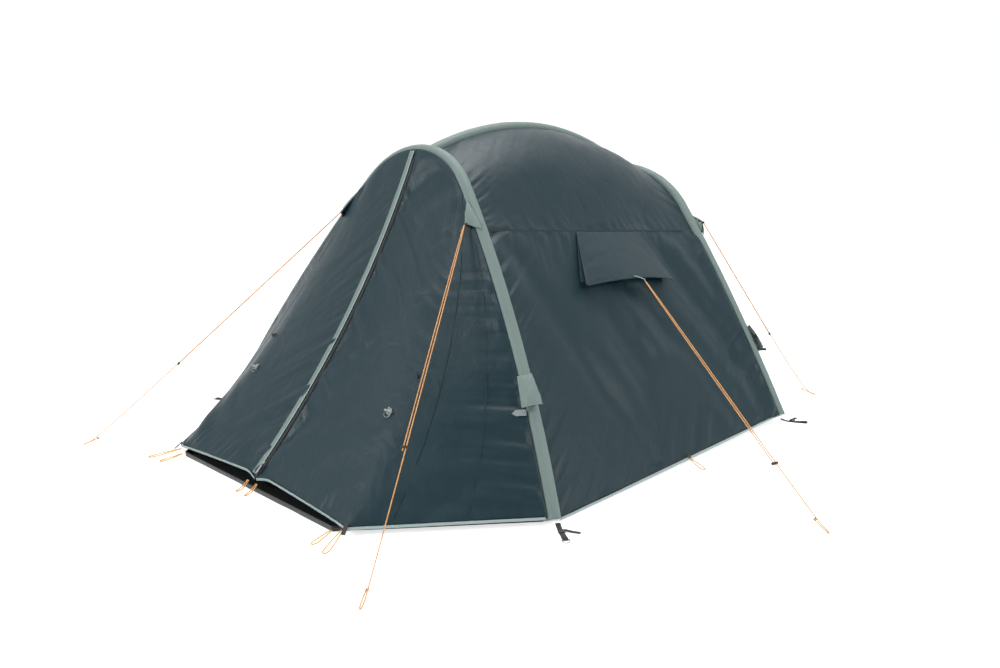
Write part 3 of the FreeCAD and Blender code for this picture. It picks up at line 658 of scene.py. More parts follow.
class Bench:
    """Turns bmeshes into dressed pieces."""

    def __init__(self, lines: Lines) -> None:
        """Keeps the tent's lines."""
        self.lines = lines
        self.fine = 1.0

    def grid(self, columns: int, rows: int, place: Place, size: tuple[float, float], outside: Vector,
             relief: Relief | None = None) -> bmesh.types.BMesh:
        """A cloth laid over a surface.

        Args:
            columns: faces across it.
            rows: faces along it.
            place: the surface, both of its shares from 0 to 1.
            size: its rough width and length, for its weave.
            outside: a direction that its outer face looks in.
            relief: how far the cloth lifts from the surface.

        Returns:
            The bmesh, with a UV map in metres.
        """
        bm = bmesh.new()
        cloth = bm.loops.layers.uv.new("UVMap")
        columns, rows = max(2, round(columns * self.fine)), max(2, round(rows * self.fine))
        bmesh.ops.create_grid(bm, x_segments=columns, y_segments=rows, size=0.5)
        shares = {vert: (vert.co.x + 0.5, 0.5 - vert.co.y) for vert in bm.verts}
        for face in bm.faces:
            for loop in face.loops:
                u, v = shares[loop.vert]
                loop[cloth].uv = (u * size[0], v * size[1])
        for vert, (u, v) in shares.items():
            vert.co = place(u, v)
        bm.normal_update()
        total = sum((face.normal * face.calc_area() for face in bm.faces), Vector())
        if total.dot(outside) < 0:
            bmesh.ops.reverse_faces(bm, faces=bm.faces[:])
            bm.normal_update()
        if relief:
            lifts = [(vert, vert.normal * relief(*shares[vert], vert.co)) for vert in shares]
            for vert, lift in lifts:
                vert.co += lift
        bmesh.ops.remove_doubles(bm, verts=bm.verts[:], dist=0.00002)
        return bm

    @staticmethod
    def cut(bm: bmesh.types.BMesh, at: Vector, across: Vector) -> None:
        """Cuts every face that a plane crosses along that plane."""
        bmesh.ops.bisect_plane(bm, geom=bm.verts[:] + bm.edges[:] + bm.faces[:], plane_co=at, plane_no=across)

    def piece(self, name: str, bm: bmesh.types.BMesh, dress: Dress,
              thickness: float = 0.0) -> bpy.types.Object:
        """Makes an object of a bmesh and dresses it.

        Args:
            name: the piece's name.
            bm: its bmesh, which is freed.
            dress: its finish, slot, body and CAD nodes.
            thickness: the wall that it gets, inwards, where it is a cloth.

        Returns:
            The piece.
        """
        mesh = bpy.data.meshes.new(name)
        bm.to_mesh(mesh)
        bm.free()
        mesh.shade_smooth()
        made = bpy.data.objects.new(name, mesh)
        bpy.context.scene.collection.objects.link(made)
        if thickness:
            wall = made.modifiers.new("wall", "SOLIDIFY")
            wall.thickness = thickness
            wall.offset = -1.0
        self.dress(made, dress)
        return made

    def dress(self, made: bpy.types.Object, dress: Dress) -> None:
        """Gives a piece its finish, hides the CAD nodes that it stands for and hangs it on its body."""
        made.data.materials.clear()
        made.data.materials.append(dress.finish.value.material())
        if dress.stands_for:
            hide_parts(*dress.stands_for)
        if dress.body:
            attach(made, dress.body)
        LOG.info("made %s on %s", made.name, dress.body or "two bodies")

    def keep(self, node: str, finish: Finishes) -> bpy.types.Object:
        """Gives a CAD node that stays a finish."""
        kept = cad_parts[node]
        kept.data.materials.clear()
        kept.data.materials.append(finish.value.material())
        return kept

    def ribbon(self, name: str, path: list[Vector], across: Vector, width: float, dress: Dress,
               thickness: float = 0.0016, rows: int = 40) -> bpy.types.Object:
        """A flat tape along a path, with its width in one direction.

        Args:
            name: the piece's name.
            path: points that the tape's middle runs through.
            across: the direction of its width.
            width: its width.
            dress: its finish, slot, body and CAD nodes.
            thickness: how thick it is.
            rows: faces along it.

        Returns:
            The piece.
        """
        side = across.normalized() * width

        def place(u: float, v: float) -> Vector:
            """A point of the tape."""
            return self.along(path, v) + side * (u - 0.5)

        length = sum((b - a).length for a, b in zip(path, path[1:]))
        outside = (path[-1] - path[0]).cross(across)
        outside = outside if outside.z > 0 else -outside
        return self.piece(name, self.grid(4, rows, place, (width, length), outside), dress, thickness)

    @staticmethod
    def along(path: list[Vector], share: float) -> Vector:
        """The point at a share of a smooth line through a path's points."""
        run = share * (len(path) - 1)
        index = min(int(run), len(path) - 2)
        s = run - index
        p1, p2 = path[index], path[index + 1]
        p0 = path[index - 1] if index else p1 * 2 - p2
        p3 = path[index + 2] if index + 2 < len(path) else p2 * 2 - p1
        return 0.5 * (p1 * 2 + (p2 - p0) * s + (p0 * 2 - p1 * 5 + p2 * 4 - p3) * s * s
                      + (p1 * 3 - p0 - p2 * 3 + p3) * s * s * s)

    def rod(self, name: str, path: Callable[[float], Vector], radius: float, dress: Dress, rows: int = 60,
            sides: int = 12, closed_ends: bool = True) -> bpy.types.Object:
        """A round bar along a line, from a circle that is extruded along it.

        Args:
            name: the piece's name.
            path: the line, its share from 0 to 1.
            radius: the bar's radius.
            dress: its finish, slot, body and CAD nodes.
            rows: rings along it.
            sides: sides of the ring.
            closed_ends: whether its ends are closed.

        Returns:
            The piece.
        """
        def place(u: float, v: float) -> Vector:
            """A point of the bar's skin."""
            heading = (path(min(1.0, v + 0.002)) - path(max(0.0, v - 0.002))).normalized()
            first = heading.orthogonal() if abs(heading.z) > 0.98 else heading.cross(UP)
            first = first.normalized()
            second = heading.cross(first)
            turn = 2 * math.pi * u
            return path(v) + (first * math.cos(turn) + second * math.sin(turn)) * radius

        length = sum((path((i + 1) / 20) - path(i / 20)).length for i in range(20))
        bm = self.grid(round(sides / self.fine), rows, place, (2 * math.pi * radius, length), UP)
        if closed_ends:
            bmesh.ops.holes_fill(bm, edges=[edge for edge in bm.edges if edge.is_boundary], sides=0)
        bmesh.ops.recalc_face_normals(bm, faces=bm.faces[:])
        return self.piece(name, bm, dress)


# --- Cords ---


@dataclass(frozen=True)
class CordKind:
    """A sort of cord: its thickness, finish and slot."""

    diameter: float
    finish: Finishes
    slot: str


GUY = CordKind(0.0045, Finishes.ORANGE, "orange_cord")
PEG = CordKind(0.005, Finishes.YELLOW, "yellow_cord")
BUNGEE = CordKind(0.005, Finishes.ELASTIC, "orange_cord")


@dataclass(frozen=True)
class CordRun:
    """One cord of the right half: its name, kind, length, how it lies and its route's points."""

    name: str
    kind: CordKind
    length: float
    lay: str
    far_end: str
    route: tuple[tuple[float, float, float], ...]


CORDS = (
    CordRun("guyline_front", GUY, 2.9495, "taut", "knot", (
        (0.8736, -0.4868, 0.3727), (0.4483, 0.2540, 1.1068), (0.4578, 0.2595, 1.1068),
        (1.0818, -0.8273, 0.0300), (1.1230, -0.8866, 0.0027), (1.1117, -0.8931, 0.0027),
        (1.0760, -0.8305, 0.0300))),
    CordRun("guyline_side", GUY, 2.7498, "taut", "knot", (
        (1.7349, 0.7576, 0.1696), (0.8223, 1.1204, 0.7818), (0.8263, 1.1306, 0.7818),
        (1.9470, 0.6851, 0.0300), (2.0162, 0.6643, 0.0027), (2.0114, 0.6522, 0.0027),
        (1.9446, 0.6790, 0.0300))),
    CordRun("guyline_rear", GUY, 2.0520, "taut", "knot", (
        (0.9834, 2.1841, 0.3352), (0.6082, 2.0187, 0.9753), (0.6037, 2.0288, 0.9753),
        (1.1578, 2.2730, 0.0300), (1.2212, 2.3078, 0.0027), (1.2264, 2.2959, 0.0027),
        (1.1604, 2.2670, 0.0300))),
    CordRun("corner_loop", PEG, 0.3154, "loose", "object", (
        (0.6429, -0.6136, 0.0240), (0.6702, -0.6837, 0.0114), (0.6933, -0.7357, 0.0028),
        (0.7078, -0.7488, 0.0028), (0.7183, -0.7435, 0.0028), (0.7166, -0.7241, 0.0028),
        (0.6888, -0.6744, 0.0114), (0.6491, -0.6104, 0.0240))),
    CordRun("sheet_loop", PEG, 0.2227, "loose", "object", (
        (0.5966, -0.6326, 0.0140), (0.6000, -0.6854, 0.0064), (0.6041, -0.7209, 0.0028),
        (0.6137, -0.7362, 0.0028), (0.6243, -0.7343, 0.0028), (0.6277, -0.7166, 0.0028),
        (0.6189, -0.6819, 0.0064), (0.6034, -0.6314, 0.0140))),
    CordRun("side_loop", PEG, 0.2078, "loose", "object", (
        (1.2413, 0.9116, 0.0260), (1.2866, 0.8961, 0.0124), (1.3162, 0.8876, 0.0028),
        (1.3340, 0.8907, 0.0028), (1.3362, 0.9013, 0.0028), (1.3210, 0.9111, 0.0028),
        (1.2905, 0.9149, 0.0124), (1.2427, 0.9184, 0.0260))),
    CordRun("zip_loop", BUNGEE, 0.1522, "hanging", "object", (
        (0.0300, -0.6120, 0.0370), (0.0270, -0.6270, 0.0210), (0.0260, -0.6540, 0.0050),
        (0.0305, -0.6740, 0.0030), (0.0375, -0.6740, 0.0030), (0.0420, -0.6540, 0.0050),
        (0.0410, -0.6270, 0.0210), (0.0380, -0.6120, 0.0370))),
)


@dataclass
class CordSet:
    """Every guyline and peg loop, with the guylines' knots."""

    bench: Bench
    knot_turns: int = 3
    knot_radius: float = 0.0048
    knot_lean: float = 0.28
    knot_step: float = 2.2

    def build(self) -> None:
        """Makes both halves' cords."""
        for run in CORDS:
            for side in (1, -1):
                self.cord(run, side)

    def cord(self, run: CordRun, side: int) -> None:
        name = f"{run.name}_{word(side)}"
        data = bpy.data.curves.new(name + "_line", "CURVE")
        data.dimensions = "3D"
        data.resolution_u = 12
        data.bevel_depth = run.kind.diameter / 2
        data.bevel_resolution = 3
        data.use_fill_caps = True
        spline = data.splines.new("NURBS")
        spline.points.add(len(run.route) - 1)
        for point, place in zip(spline.points, run.route):
            point.co = (side * place[0], place[1], place[2], 1.0)
        spline.order_u = 3
        spline.use_endpoint_u = True
        made = bpy.data.objects.new(name + "_line", data)
        bpy.context.scene.collection.objects.link(made)
        self.bench.dress(made, Dress(run.kind.finish, run.kind.slot, "tent", (name,)))
        if run.far_end == "knot":
            knot = flip(Vector(run.route[3]).lerp(Vector(run.route[6]), 0.5), side)
            heading = flip((Vector(run.route[3]) - Vector(run.route[2])).normalized(), side)
            self.knot(name + "_knot", knot, heading, run.kind)
        flip(Vector(run.route[0]), side)
        run.length

    def knot(self, name: str, place: Vector, heading: Vector, kind: CordKind) -> bpy.types.Object:
        """Makes a guyline's knot: slanting turns of its cord beside each other."""
        bm = bmesh.new()
        turn = heading.to_track_quat("Z", "Y")
        quarter = Vector((1, 0, 0)).to_track_quat("Y", "Z")
        for index in range(self.knot_turns):
            ring = bmesh.ops.create_circle(bm, segments=8, radius=kind.diameter / 2)["verts"]
            for vert in ring:
                vert.co = quarter @ vert.co + Vector((self.knot_radius, 0, 0))
            edges = list({edge for vert in ring for edge in vert.link_edges})
            bmesh.ops.spin(bm, geom=ring + edges, cent=(0, 0, 0), axis=(0, 0, 1),
                           angle=2 * math.pi, steps=16, use_merge=True)
            verts = {vert for vert in bm.verts if not vert.tag}
            way = index * self.knot_step
            lean = Vector((math.cos(way), math.sin(way), 0)) * self.knot_lean
            tilt = (lean + UP).to_track_quat("Z", "Y")
            for vert in verts:
                vert.co = tilt @ vert.co + Vector((0, 0, (index - 1) * kind.diameter * 0.85))
                vert.tag = True
        for vert in bm.verts:
            vert.co = turn @ vert.co + place
        bmesh.ops.recalc_face_normals(bm, faces=bm.faces[:])
        return self.bench.piece(name, bm, Dress(kind.finish, kind.slot))


# --- Fly sheet ---


@dataclass
class SleeveSet:
    """The light sleeves around the beams, and the beams themselves."""

    bench: Bench
    lines: Lines
    ripple: float = 0.0011
    pitch: float = 0.030

    def build(self) -> None:
        """Makes the arches' sleeves and the ridge's, and finishes the tubes in them."""
        self.arch("sleeve_front", self.lines.front, 3.1)
        self.arch("sleeve_rear", self.lines.rear, 8.4)
        self.spine()
        for node in ("beam_front", "beam_rear", "beam_spine"):
            self.bench.keep(node, Finishes.AIR)

    def lift(self, turn: float, run: float, seed: float) -> float:
        """How far a sleeve's cloth lifts: small folds across it and flat seams at both sides."""
        fold = swell(run / self.pitch, math.cos(turn) * 0.9, seed + math.sin(turn) * 0.9)
        slow = swell(run / (self.pitch * 6), math.cos(turn), seed + 5.0)
        return self.ripple * (0.8 * fold + 0.8 * slow - 0.9)

    def arch(self, name: str, arch: Arch, seed: float) -> None:
        """Makes one arch's sleeve, open at both feet."""
        radius = self.lines.sleeve

        def place(u: float, v: float) -> Vector:
            """A point of the sleeve: u round it and v from the left foot to the right one."""
            side, share = (-1, 1 - 2 * v) if v < 0.5 else (1, 2 * v - 1)
            turn = 2 * math.pi * u
            reach = radius + self.lift(turn, 2 * v * arch.length, seed)
            return arch.point(share, side, reach * math.cos(turn), reach * math.sin(turn))

        size = (2 * math.pi * radius, 2 * arch.length)
        bm = self.bench.grid(36, 420, place, size, UP)
        self.bench.piece(name + "_cloth", bm, Dress(Finishes.SLEEVE, "sleeve_cloth", "tent", (name,)), 0.0012)

    def spine(self) -> None:
        """Makes the ridge's sleeve."""
        lines = self.lines
        start = lines.front.point(0, 1, 0, lines.rim + 0.004)
        end = lines.rear.point(0, 1, 0, -lines.rim - 0.004)
        first = math.atan2(start.z - lines.ridge_centre_z, start.y - lines.ridge_centre_y)
        last = math.atan2(end.z - lines.ridge_centre_z, end.y - lines.ridge_centre_y)

        def place(u: float, v: float) -> Vector:
            """A point of the sleeve: u round it and v from front to rear."""
            at = first + (last - first) * v
            turn = 2 * math.pi * u
            reach = lines.sleeve + self.lift(turn, v * 1.6, 6.6)
            out = lines.ridge_radius + reach * math.cos(turn)
            x = reach * math.sin(turn)
            y = lines.ridge_centre_y + out * math.cos(at)
            return Vector((x, y, lines.ridge_centre_z + out * math.sin(at)))

        bm = self.bench.grid(36, 180, place, (0.2, 1.6), UP)
        dress = Dress(Finishes.SLEEVE, "sleeve_cloth", "tent", ("sleeve_spine",))
        self.bench.piece("sleeve_spine_cloth", bm, dress, 0.0012)


@dataclass
class FlySheet:
    """The roof, side walls and rear wall, with their seams and hem tapes."""

    bench: Bench
    lines: Lines
    cloth: float = 0.0009
    tape_height: float = 0.013
    let_down: float = 0.013
    rear_lap: float = 0.020

    def build(self) -> None:
        """Makes every fixed cloth of the fly."""
        for side in (1, -1):
            self.roof(side)
            self.wall(side)
            self.roof_seam(side)
            self.wall_hem(side)
        self.rear_wall()

    def dress(self, *nodes: str) -> Dress:
        """The fly cloth, in place of some CAD nodes."""
        return Dress(Finishes.FLY, "fly_cloth", "tent", nodes)

    def roof(self, side: int) -> None:
        """Makes one half of the roof."""
        seed = 2.0 * side
        near = Gather(0.0080, 0.055, 0.10, 0.5, seed + 1.3)
        far = Gather(0.0070, 0.055, 0.09, 0.5, seed + 5.2)
        top = Gather(0.0060, 0.085, 0.13, 0.9, seed + 7.7)
        slack = Drift(0.0100, 0.22, 0.7, 0.7, seed + 2.2)
        low = Gather(0.0060, 0.05, 0.07, 0.2, seed + 8.8)

        def relief(u: float, v: float, _: Vector) -> float:
            """The roof's folds."""
            span, drop = 1.42, 0.70
            edge = min(u, 1 - u) * span
            lift = near.at(v * drop, u * span) + far.at(v * drop, (1 - u) * span) + top.at(u * span, v * drop)
            lift += low.at(u * span, (1 - v) * drop)
            ease = smooth(0, 0.12, edge) * smooth(0, 0.06, min(v, 1 - v) * drop)
            return lift + slack.at(u * span, v * drop) * ease

        def place(u: float, v: float) -> Vector:
            """The roof, lapped over the wall's top edge."""
            return self.lines.roof(side, u, v * 1.006)

        bm = self.bench.grid(190, 100, place, (1.42, 0.70), UP, relief)
        name = word(side)
        made = self.bench.piece(f"roof_{name}_cloth", bm, self.dress("roof_" + name), self.cloth)

    def wall(self, side: int) -> None:
        """Makes one side wall with its vent hole."""
        seed = 3.0 * side
        near = Gather(0.0150, 0.085, 0.17, 0.75, seed + 1.1)
        near_fine = Gather(0.0060, 0.035, 0.08, 0.6, seed + 2.7)
        far = Gather(0.0140, 0.095, 0.26, -0.8, seed + 5.5)
        below = Gather(0.0080, 0.060, 0.12, 0.15, seed + 3.9)
        hem = Gather(0.0070, 0.11, 0.16, -0.8, seed + 4.1)
        long = Drift(0.0220, 0.17, 1.1, -0.42, seed + 6.2)
        span, drop = 1.74, 1.27
        vent = VentSet(self.bench, self.lines)

        def relief(u: float, v: float, at: Vector) -> float:
            """The wall's folds, which fade near the vent."""
            edge = min(u * span, (1 - u) * span)
            down = v * drop
            lift = near.at(down, u * span) + near_fine.at(down, u * span) + far.at(down, (1 - u) * span)
            lift += below.at(u * span, v * drop) + hem.at(u * span, (1 - v) * drop)
            ease = smooth(0, 0.22, edge) * smooth(0, 0.15, v * drop) * smooth(0, 0.04, (1 - v) * drop)
            lift += long.at(u * span, v * drop) * ease
            calm = smooth(0.0, 0.10, max(vent.front_y - at.y, at.y - vent.rear_y, v * drop - 0.27))
            return lift * (0.15 + 0.85 * calm)

        def place(u: float, v: float) -> Vector:
            """The wall, let down to its hem and drawn out over the rear sleeve's front."""
            at = self.lines.wall(side, u, v * (1 + self.let_down * v ** 4))
            lap = self.rear_lap * smooth(0.93, 1.0, u) * smooth(0.0, 0.06, v)
            return at + Vector((side * lap, 0, 0)) + UP * (lap * 0.3)

        bm = self.bench.grid(215, 158, place, (span, drop), Vector((side, 0, 0)), relief)
        corners = vent.hole(side, 0.0)
        for first, second in zip(corners, corners[1:] + corners[:1]):
            edge = second - first
            cut = edge.cross(Vector((1, 0, 0))).normalized()
            self.bench.cut(bm, first, cut)
        inside = [face for face in bm.faces if vent.holds(corners, face.calc_center_median())]
        bmesh.ops.delete(bm, geom=inside, context="FACES")
        name = word(side)
        made = self.bench.piece(f"side_wall_{name}_cloth", bm, self.dress("side_wall_" + name), self.cloth)

    def roof_seam(self, side: int) -> None:
        """Makes the flat seam between a roof half and a side wall."""
        def place(u: float, v: float) -> Vector:
            """A point of the seam, a little proud of both cloths."""
            at = self.lines.wall(side, 0.004 + 0.992 * v, 0.0)
            return at + Vector((side * 0.0016, 0, 0.004 - 0.010 * u))

        bm = self.bench.grid(4, 160, place, (0.010, 1.5), Vector((side, 0, 0)))
        self.bench.piece(f"roof_seam_{word(side)}", bm, self.dress(), 0.001)

    def hem(self, name: str, edge: Callable[[float], Vector], out: Vector, dress: Dress,
            rows: int = 140) -> bpy.types.Object:
        """Makes a light tape that folds over a hem.

        Args:
            name: the tape's name.
            edge: the hem's line, its share from 0 to 1.
            out: the direction that the tape looks in.
            dress: its finish, slot, body and CAD nodes.
            rows: faces along it.

        Returns:
            The tape.
        """
        def place(u: float, v: float) -> Vector:
            """A point of the tape, rounded under the hem."""
            turn = math.pi * (u - 0.15)
            sink = 0.0035 * math.sin(max(0.0, turn)) if u > 0.5 else 0.0035
            wave = 0.0012 * swell(v * 22, 0.3, 1.7)
            return edge(v) + out * (sink + wave) + UP * (0.004 - self.tape_height * u)

        length = sum((edge((i + 1) / 12) - edge(i / 12)).length for i in range(12))
        bm = self.bench.grid(6, rows, place, (self.tape_height, length), out)
        return self.bench.piece(name, bm, dress, 0.0012)

    def wall_hem(self, side: int) -> None:
        """Makes a side wall's hem tape."""
        dress = Dress(Finishes.HEM, "hem_tape", "tent", ("hem_tapes",) if side > 0 else ())

        def edge(v: float) -> Vector:
            """The wall's hem, which dips between its ends."""
            at = self.lines.wall(side, 0.004 + 0.992 * v, 1 + self.let_down)
            return at - UP * (0.004 * math.sin(math.pi * v))

        self.hem(f"side_hem_{word(side)}", edge, Vector((side, 0, 0)), dress)

    def rear_wall(self) -> None:
        """Makes the rear wall in the plane of the rear arch, and its hem tape."""
        rear, rim = self.lines.rear, self.lines.rim
        left = Gather(0.0080, 0.070, 0.16, 0.6, 11.3)
        right = Gather(0.0080, 0.070, 0.16, 0.6, 12.9)
        long = Drift(0.0144, 0.20, 1.2, 0.35, 14.1)

        def place(u: float, v: float) -> Vector:
            """A point of the wall: u from left to right and v from the crown to the ground."""
            share = 0.004 + 0.986 * v
            return mix(rear.point(share, -1, 0, rim), rear.point(share, 1, 0, rim), u)

        def relief(u: float, v: float, _: Vector) -> float:
            """The wall's folds, and its bow out in the wind."""
            width = 2 * abs(rear.point(0.004 + 0.986 * v).x)
            near, far = u * width, (1 - u) * width
            edge = smooth(0, 0.25, min(near, far)) * smooth(0, 0.2, 1 - v)
            bow = 0.016 * math.sin(math.pi * u) * math.sin(math.pi * min(1.0, v * 1.05))
            lift = left.at(v * rear.length, near) + right.at(v * rear.length, far)
            return bow * edge + lift + long.at(u * width, v * 1.5) * edge

        bm = self.bench.grid(200, 150, place, (2.3, 1.5), Vector((0, 1, 0.2)), relief)
        made = self.bench.piece("rear_wall_cloth", bm, self.dress("rear_wall"), self.cloth)

        def edge(v: float) -> Vector:
            """The rear hem."""
            return mix(rear.point(0.988, -1, 0, rim), rear.point(0.988, 1, 0, rim), 0.015 + 0.97 * v)

        self.hem("rear_hem", edge, Vector((0, 1, 0)), Dress(Finishes.HEM, "hem_tape"))


@dataclass
class Porch:
    """The porch: two half doors with their fixed heads and sides, the zip and its storm flap."""

    bench: Bench
    lines: Lines
    cloth: float = 0.0009
    zip_gap: float = 0.0015
    rise: float = 0.024
    drop: float = 0.006
    strip_near: float = 0.012
    strip_width: float = 0.030
    tape_width: float = 0.010
    fold_start: float = -0.02
    fold_end: float = 0.08

    def build(self) -> None:
        """Makes the porch."""
        for side in (1, -1):
            self.half(side)
            self.door_hem(side)
            self.zip_side(side)
            self.seam(side)
        self.storm_strip()
        for node in ("zip_slider", "zip_pull"):
            self.bench.keep(node, Finishes.METAL)

    def lift(self, t: float) -> float:
        """How far the hem is drawn up between the zip and the porch corner."""
        return self.rise * smooth(-0.12, 0.16, t) * (1 - t) ** 0.7 if t < 1 else 0.0

    def place(self, side: int, t: float, v: float) -> Vector:
        """A point of half the porch, with the zip's gap and the drawn-up hem."""
        at = self.lines.porch(side, t, v * (1 + (self.drop - self.lift(t)) * v ** 6))
        return at + Vector((side * self.zip_gap * max(0.0, 1 - t * 8), 0, 0))

    def fold(self, made: bpy.types.Object, side: int) -> None:
        """Bakes a cloth's placement into its mesh; the line that its half door swings about is worked out but
        not used.
        """
        corner = flip(self.lines.corner, side)
        axis = (self.lines.zip_top - corner).normalized()
        across = self.lines.zip_foot - corner
        across = (across - axis * across.dot(axis)).normalized()
        middle = mix(corner, self.lines.zip_top, 0.5)
        "door_" + word(side)
        middle + across * self.fold_start
        middle + across * self.fold_end
        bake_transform(made)

    def half(self, side: int) -> None:
        """Makes one half of the porch as one cloth."""
        seed = 5.0 * side
        at_zip = Gather(0.0150, 0.085, 0.17, -0.75, seed + 1.9)
        at_leg = Gather(0.0130, 0.060, 0.20, 0.22, seed + 2.4)
        at_leg_wide = Gather(0.0140, 0.110, 0.48, 0.12, seed + 4.8)
        at_hem = Gather(0.0044, 0.030, 0.13, 0.3, seed + 6.6)
        at_crown = Gather(0.0110, 0.16, 0.17, 0.3, seed + 7.3)
        streak = Drift(0.0170, 0.13, 0.60, 0.72, seed + 8.2)
        def relief(u: float, v: float, _: Vector) -> float:
            """The porch's folds."""
            t = 2 * u
            down = v * 1.70
            door_width = 0.43 + 0.23 * v
            side_width = 0.04 + 0.75 * v
            from_zip = t * door_width if t < 1 else door_width + (t - 1) * side_width
            from_leg = (2 - t) * side_width if t > 1 else side_width + (1 - t) * door_width
            ease = smooth(0, 0.05, from_zip) * smooth(0, 0.05, down) * smooth(0, 0.03, from_leg)
            lift = at_zip.at(down, from_zip) * smooth(0.06, 0.25, down)
            pulled = at_leg.at(down, from_leg) + at_leg_wide.at(down, from_leg) * smooth(0.5, 0.9, v)
            lift += pulled * smooth(0.12, 0.5, v)
            lift += at_hem.at(t * 0.7, (1 - v) * 1.70) + at_crown.at(from_zip, down)
            lift += streak.at(from_zip, down) * ease * (1 - 0.75 * smooth(0.85, 1.25, t))
            return lift * smooth(0, 0.03, down)

        bm = self.bench.grid(170, 165, lambda u, v: self.place(side, 2 * u, v), (1.4, 1.7),
                             Vector((side * 0.3, -1, 0.4)), relief)
        name = word(side)
        nodes = ("door_head_" + name, "door_" + name, "porch_side_" + name)
        dress = Dress(Finishes.FLY, "fly_cloth", "", nodes)
        made = self.bench.piece(f"porch_{name}_cloth", bm, dress, self.cloth)
        self.fold(made, side)

    def hem_line(self, side: int, t: float) -> Vector:
        """The porch's hem: t is 0 at the zip, 1 at the corner and 2 at the arch leg."""
        return self.place(side, t, 1.0)

    def door_hem(self, side: int) -> None:
        """Makes the hem tapes of a half door and of the side beside it."""
        fly = FlySheet(self.bench, self.lines)
        name = word(side)
        door = fly.hem(f"door_hem_{name}", lambda v: self.hem_line(side, 0.01 + 0.985 * v),
                       Vector((0, -1, 0)), Dress(Finishes.HEM, "hem_tape", ""))
        self.fold(door, side)
        foot = self.hem_line(side, 2.0) - self.hem_line(side, 1.0)
        out = Vector((side * foot.y, -side * foot.x, 0)).normalized()
        fly.hem(f"porch_hem_{name}", lambda v: self.hem_line(side, 1.0 + 0.99 * v), out,
                Dress(Finishes.HEM, "hem_tape"))

    def strip(self, name: str, side: int, near: float, width: float, stand: float, start: float, end: float,
              dress: Dress, thickness: float, wave: float = 0.0) -> bpy.types.Object:
        """Makes a strip that runs down the door beside the zip.

        Args:
            name: its name.
            side: the half door that it is on.
            near: from the zip's middle to its nearer edge.
            width: its width.
            stand: how far it stands out from the door.
            start: where it starts, as a share of the door's length.
            end: where it ends.
            dress: its finish, slot, body and CAD nodes.
            thickness: how thick it is.
            wave: how far its outer edge flutters.

        Returns:
            The strip.
        """
        def place(u: float, v: float) -> Vector:
            """A point of the strip."""
            share = start + (end - start) * v
            share *= 1 + (self.drop - self.lift(0.02)) * share ** 6
            flutter = wave * swell(v * 14, u * 1.5, 3.7) * (0.3 + u)
            point = self.lines.door(side, 0, share) - self.lines.inward * (stand + abs(flutter))
            return point + Vector((side * (near + width * u + flutter * 0.6), 0, 0))

        bm = self.bench.grid(6, 260, place, (width, 1.7), -self.lines.inward)
        return self.bench.piece(name, bm, dress, thickness)

    def zip_side(self, side: int) -> None:
        """Makes one side of the zip: its tape and the row of coils along it."""
        name = word(side)
        body = "door_" + name
        self.strip(f"zip_tape_{name}_cloth", side, self.zip_gap, self.tape_width, 0.0022, 0.035, 0.985,
                   Dress(Finishes.ZIP, "zip_tape", body, ("zip_tape_" + name,)), 0.0008)
        self.strip(f"zip_coil_{name}", side, 0.0006, 0.0022, 0.0030, 0.035, 0.985,
                   Dress(Finishes.VALVE, "zip_tape", body), 0.0015)

    def storm_strip(self) -> None:
        """Makes the light flap along the zip, and the fold along its edge."""
        dress = Dress(Finishes.SLEEVE, "sleeve_cloth", "door_left", ("storm_flap",))
        self.strip("storm_flap_cloth", -1, self.strip_near, self.strip_width, 0.0040, 0.007, 0.990, dress,
                   0.0014, 0.0022)
        edge = Dress(Finishes.HEM, "sleeve_cloth", "door_left")
        self.strip("storm_flap_edge", -1, self.strip_near - 0.001, 0.005, 0.0062, 0.007, 0.990, edge,
                   0.0016, 0.0010)

    def seam(self, side: int) -> None:
        """Makes the thin seam that runs down beside the porch's fold."""
        out = Vector((side * 0.35, -0.85, 0.35)).normalized()
        for label, first, last, top in (("inner", 1.40, 1.22, 0.20), ("outer", 1.86, 1.60, 0.18)):
            def place(u: float, v: float) -> Vector:
                """A point of the seam."""
                share = top + (0.985 - top) * v
                at = self.place(side, first + (last - first) * v, share)
                return at + out * 0.0022 + Vector((0.0022 * (u - 0.5), 0, 0))

            bm = self.bench.grid(2, 160, place, (0.003, 1.3), out)
            self.bench.piece(f"porch_seam_{label}_{word(side)}", bm, Dress(Finishes.FLY, "fly_cloth"), 0.0006)


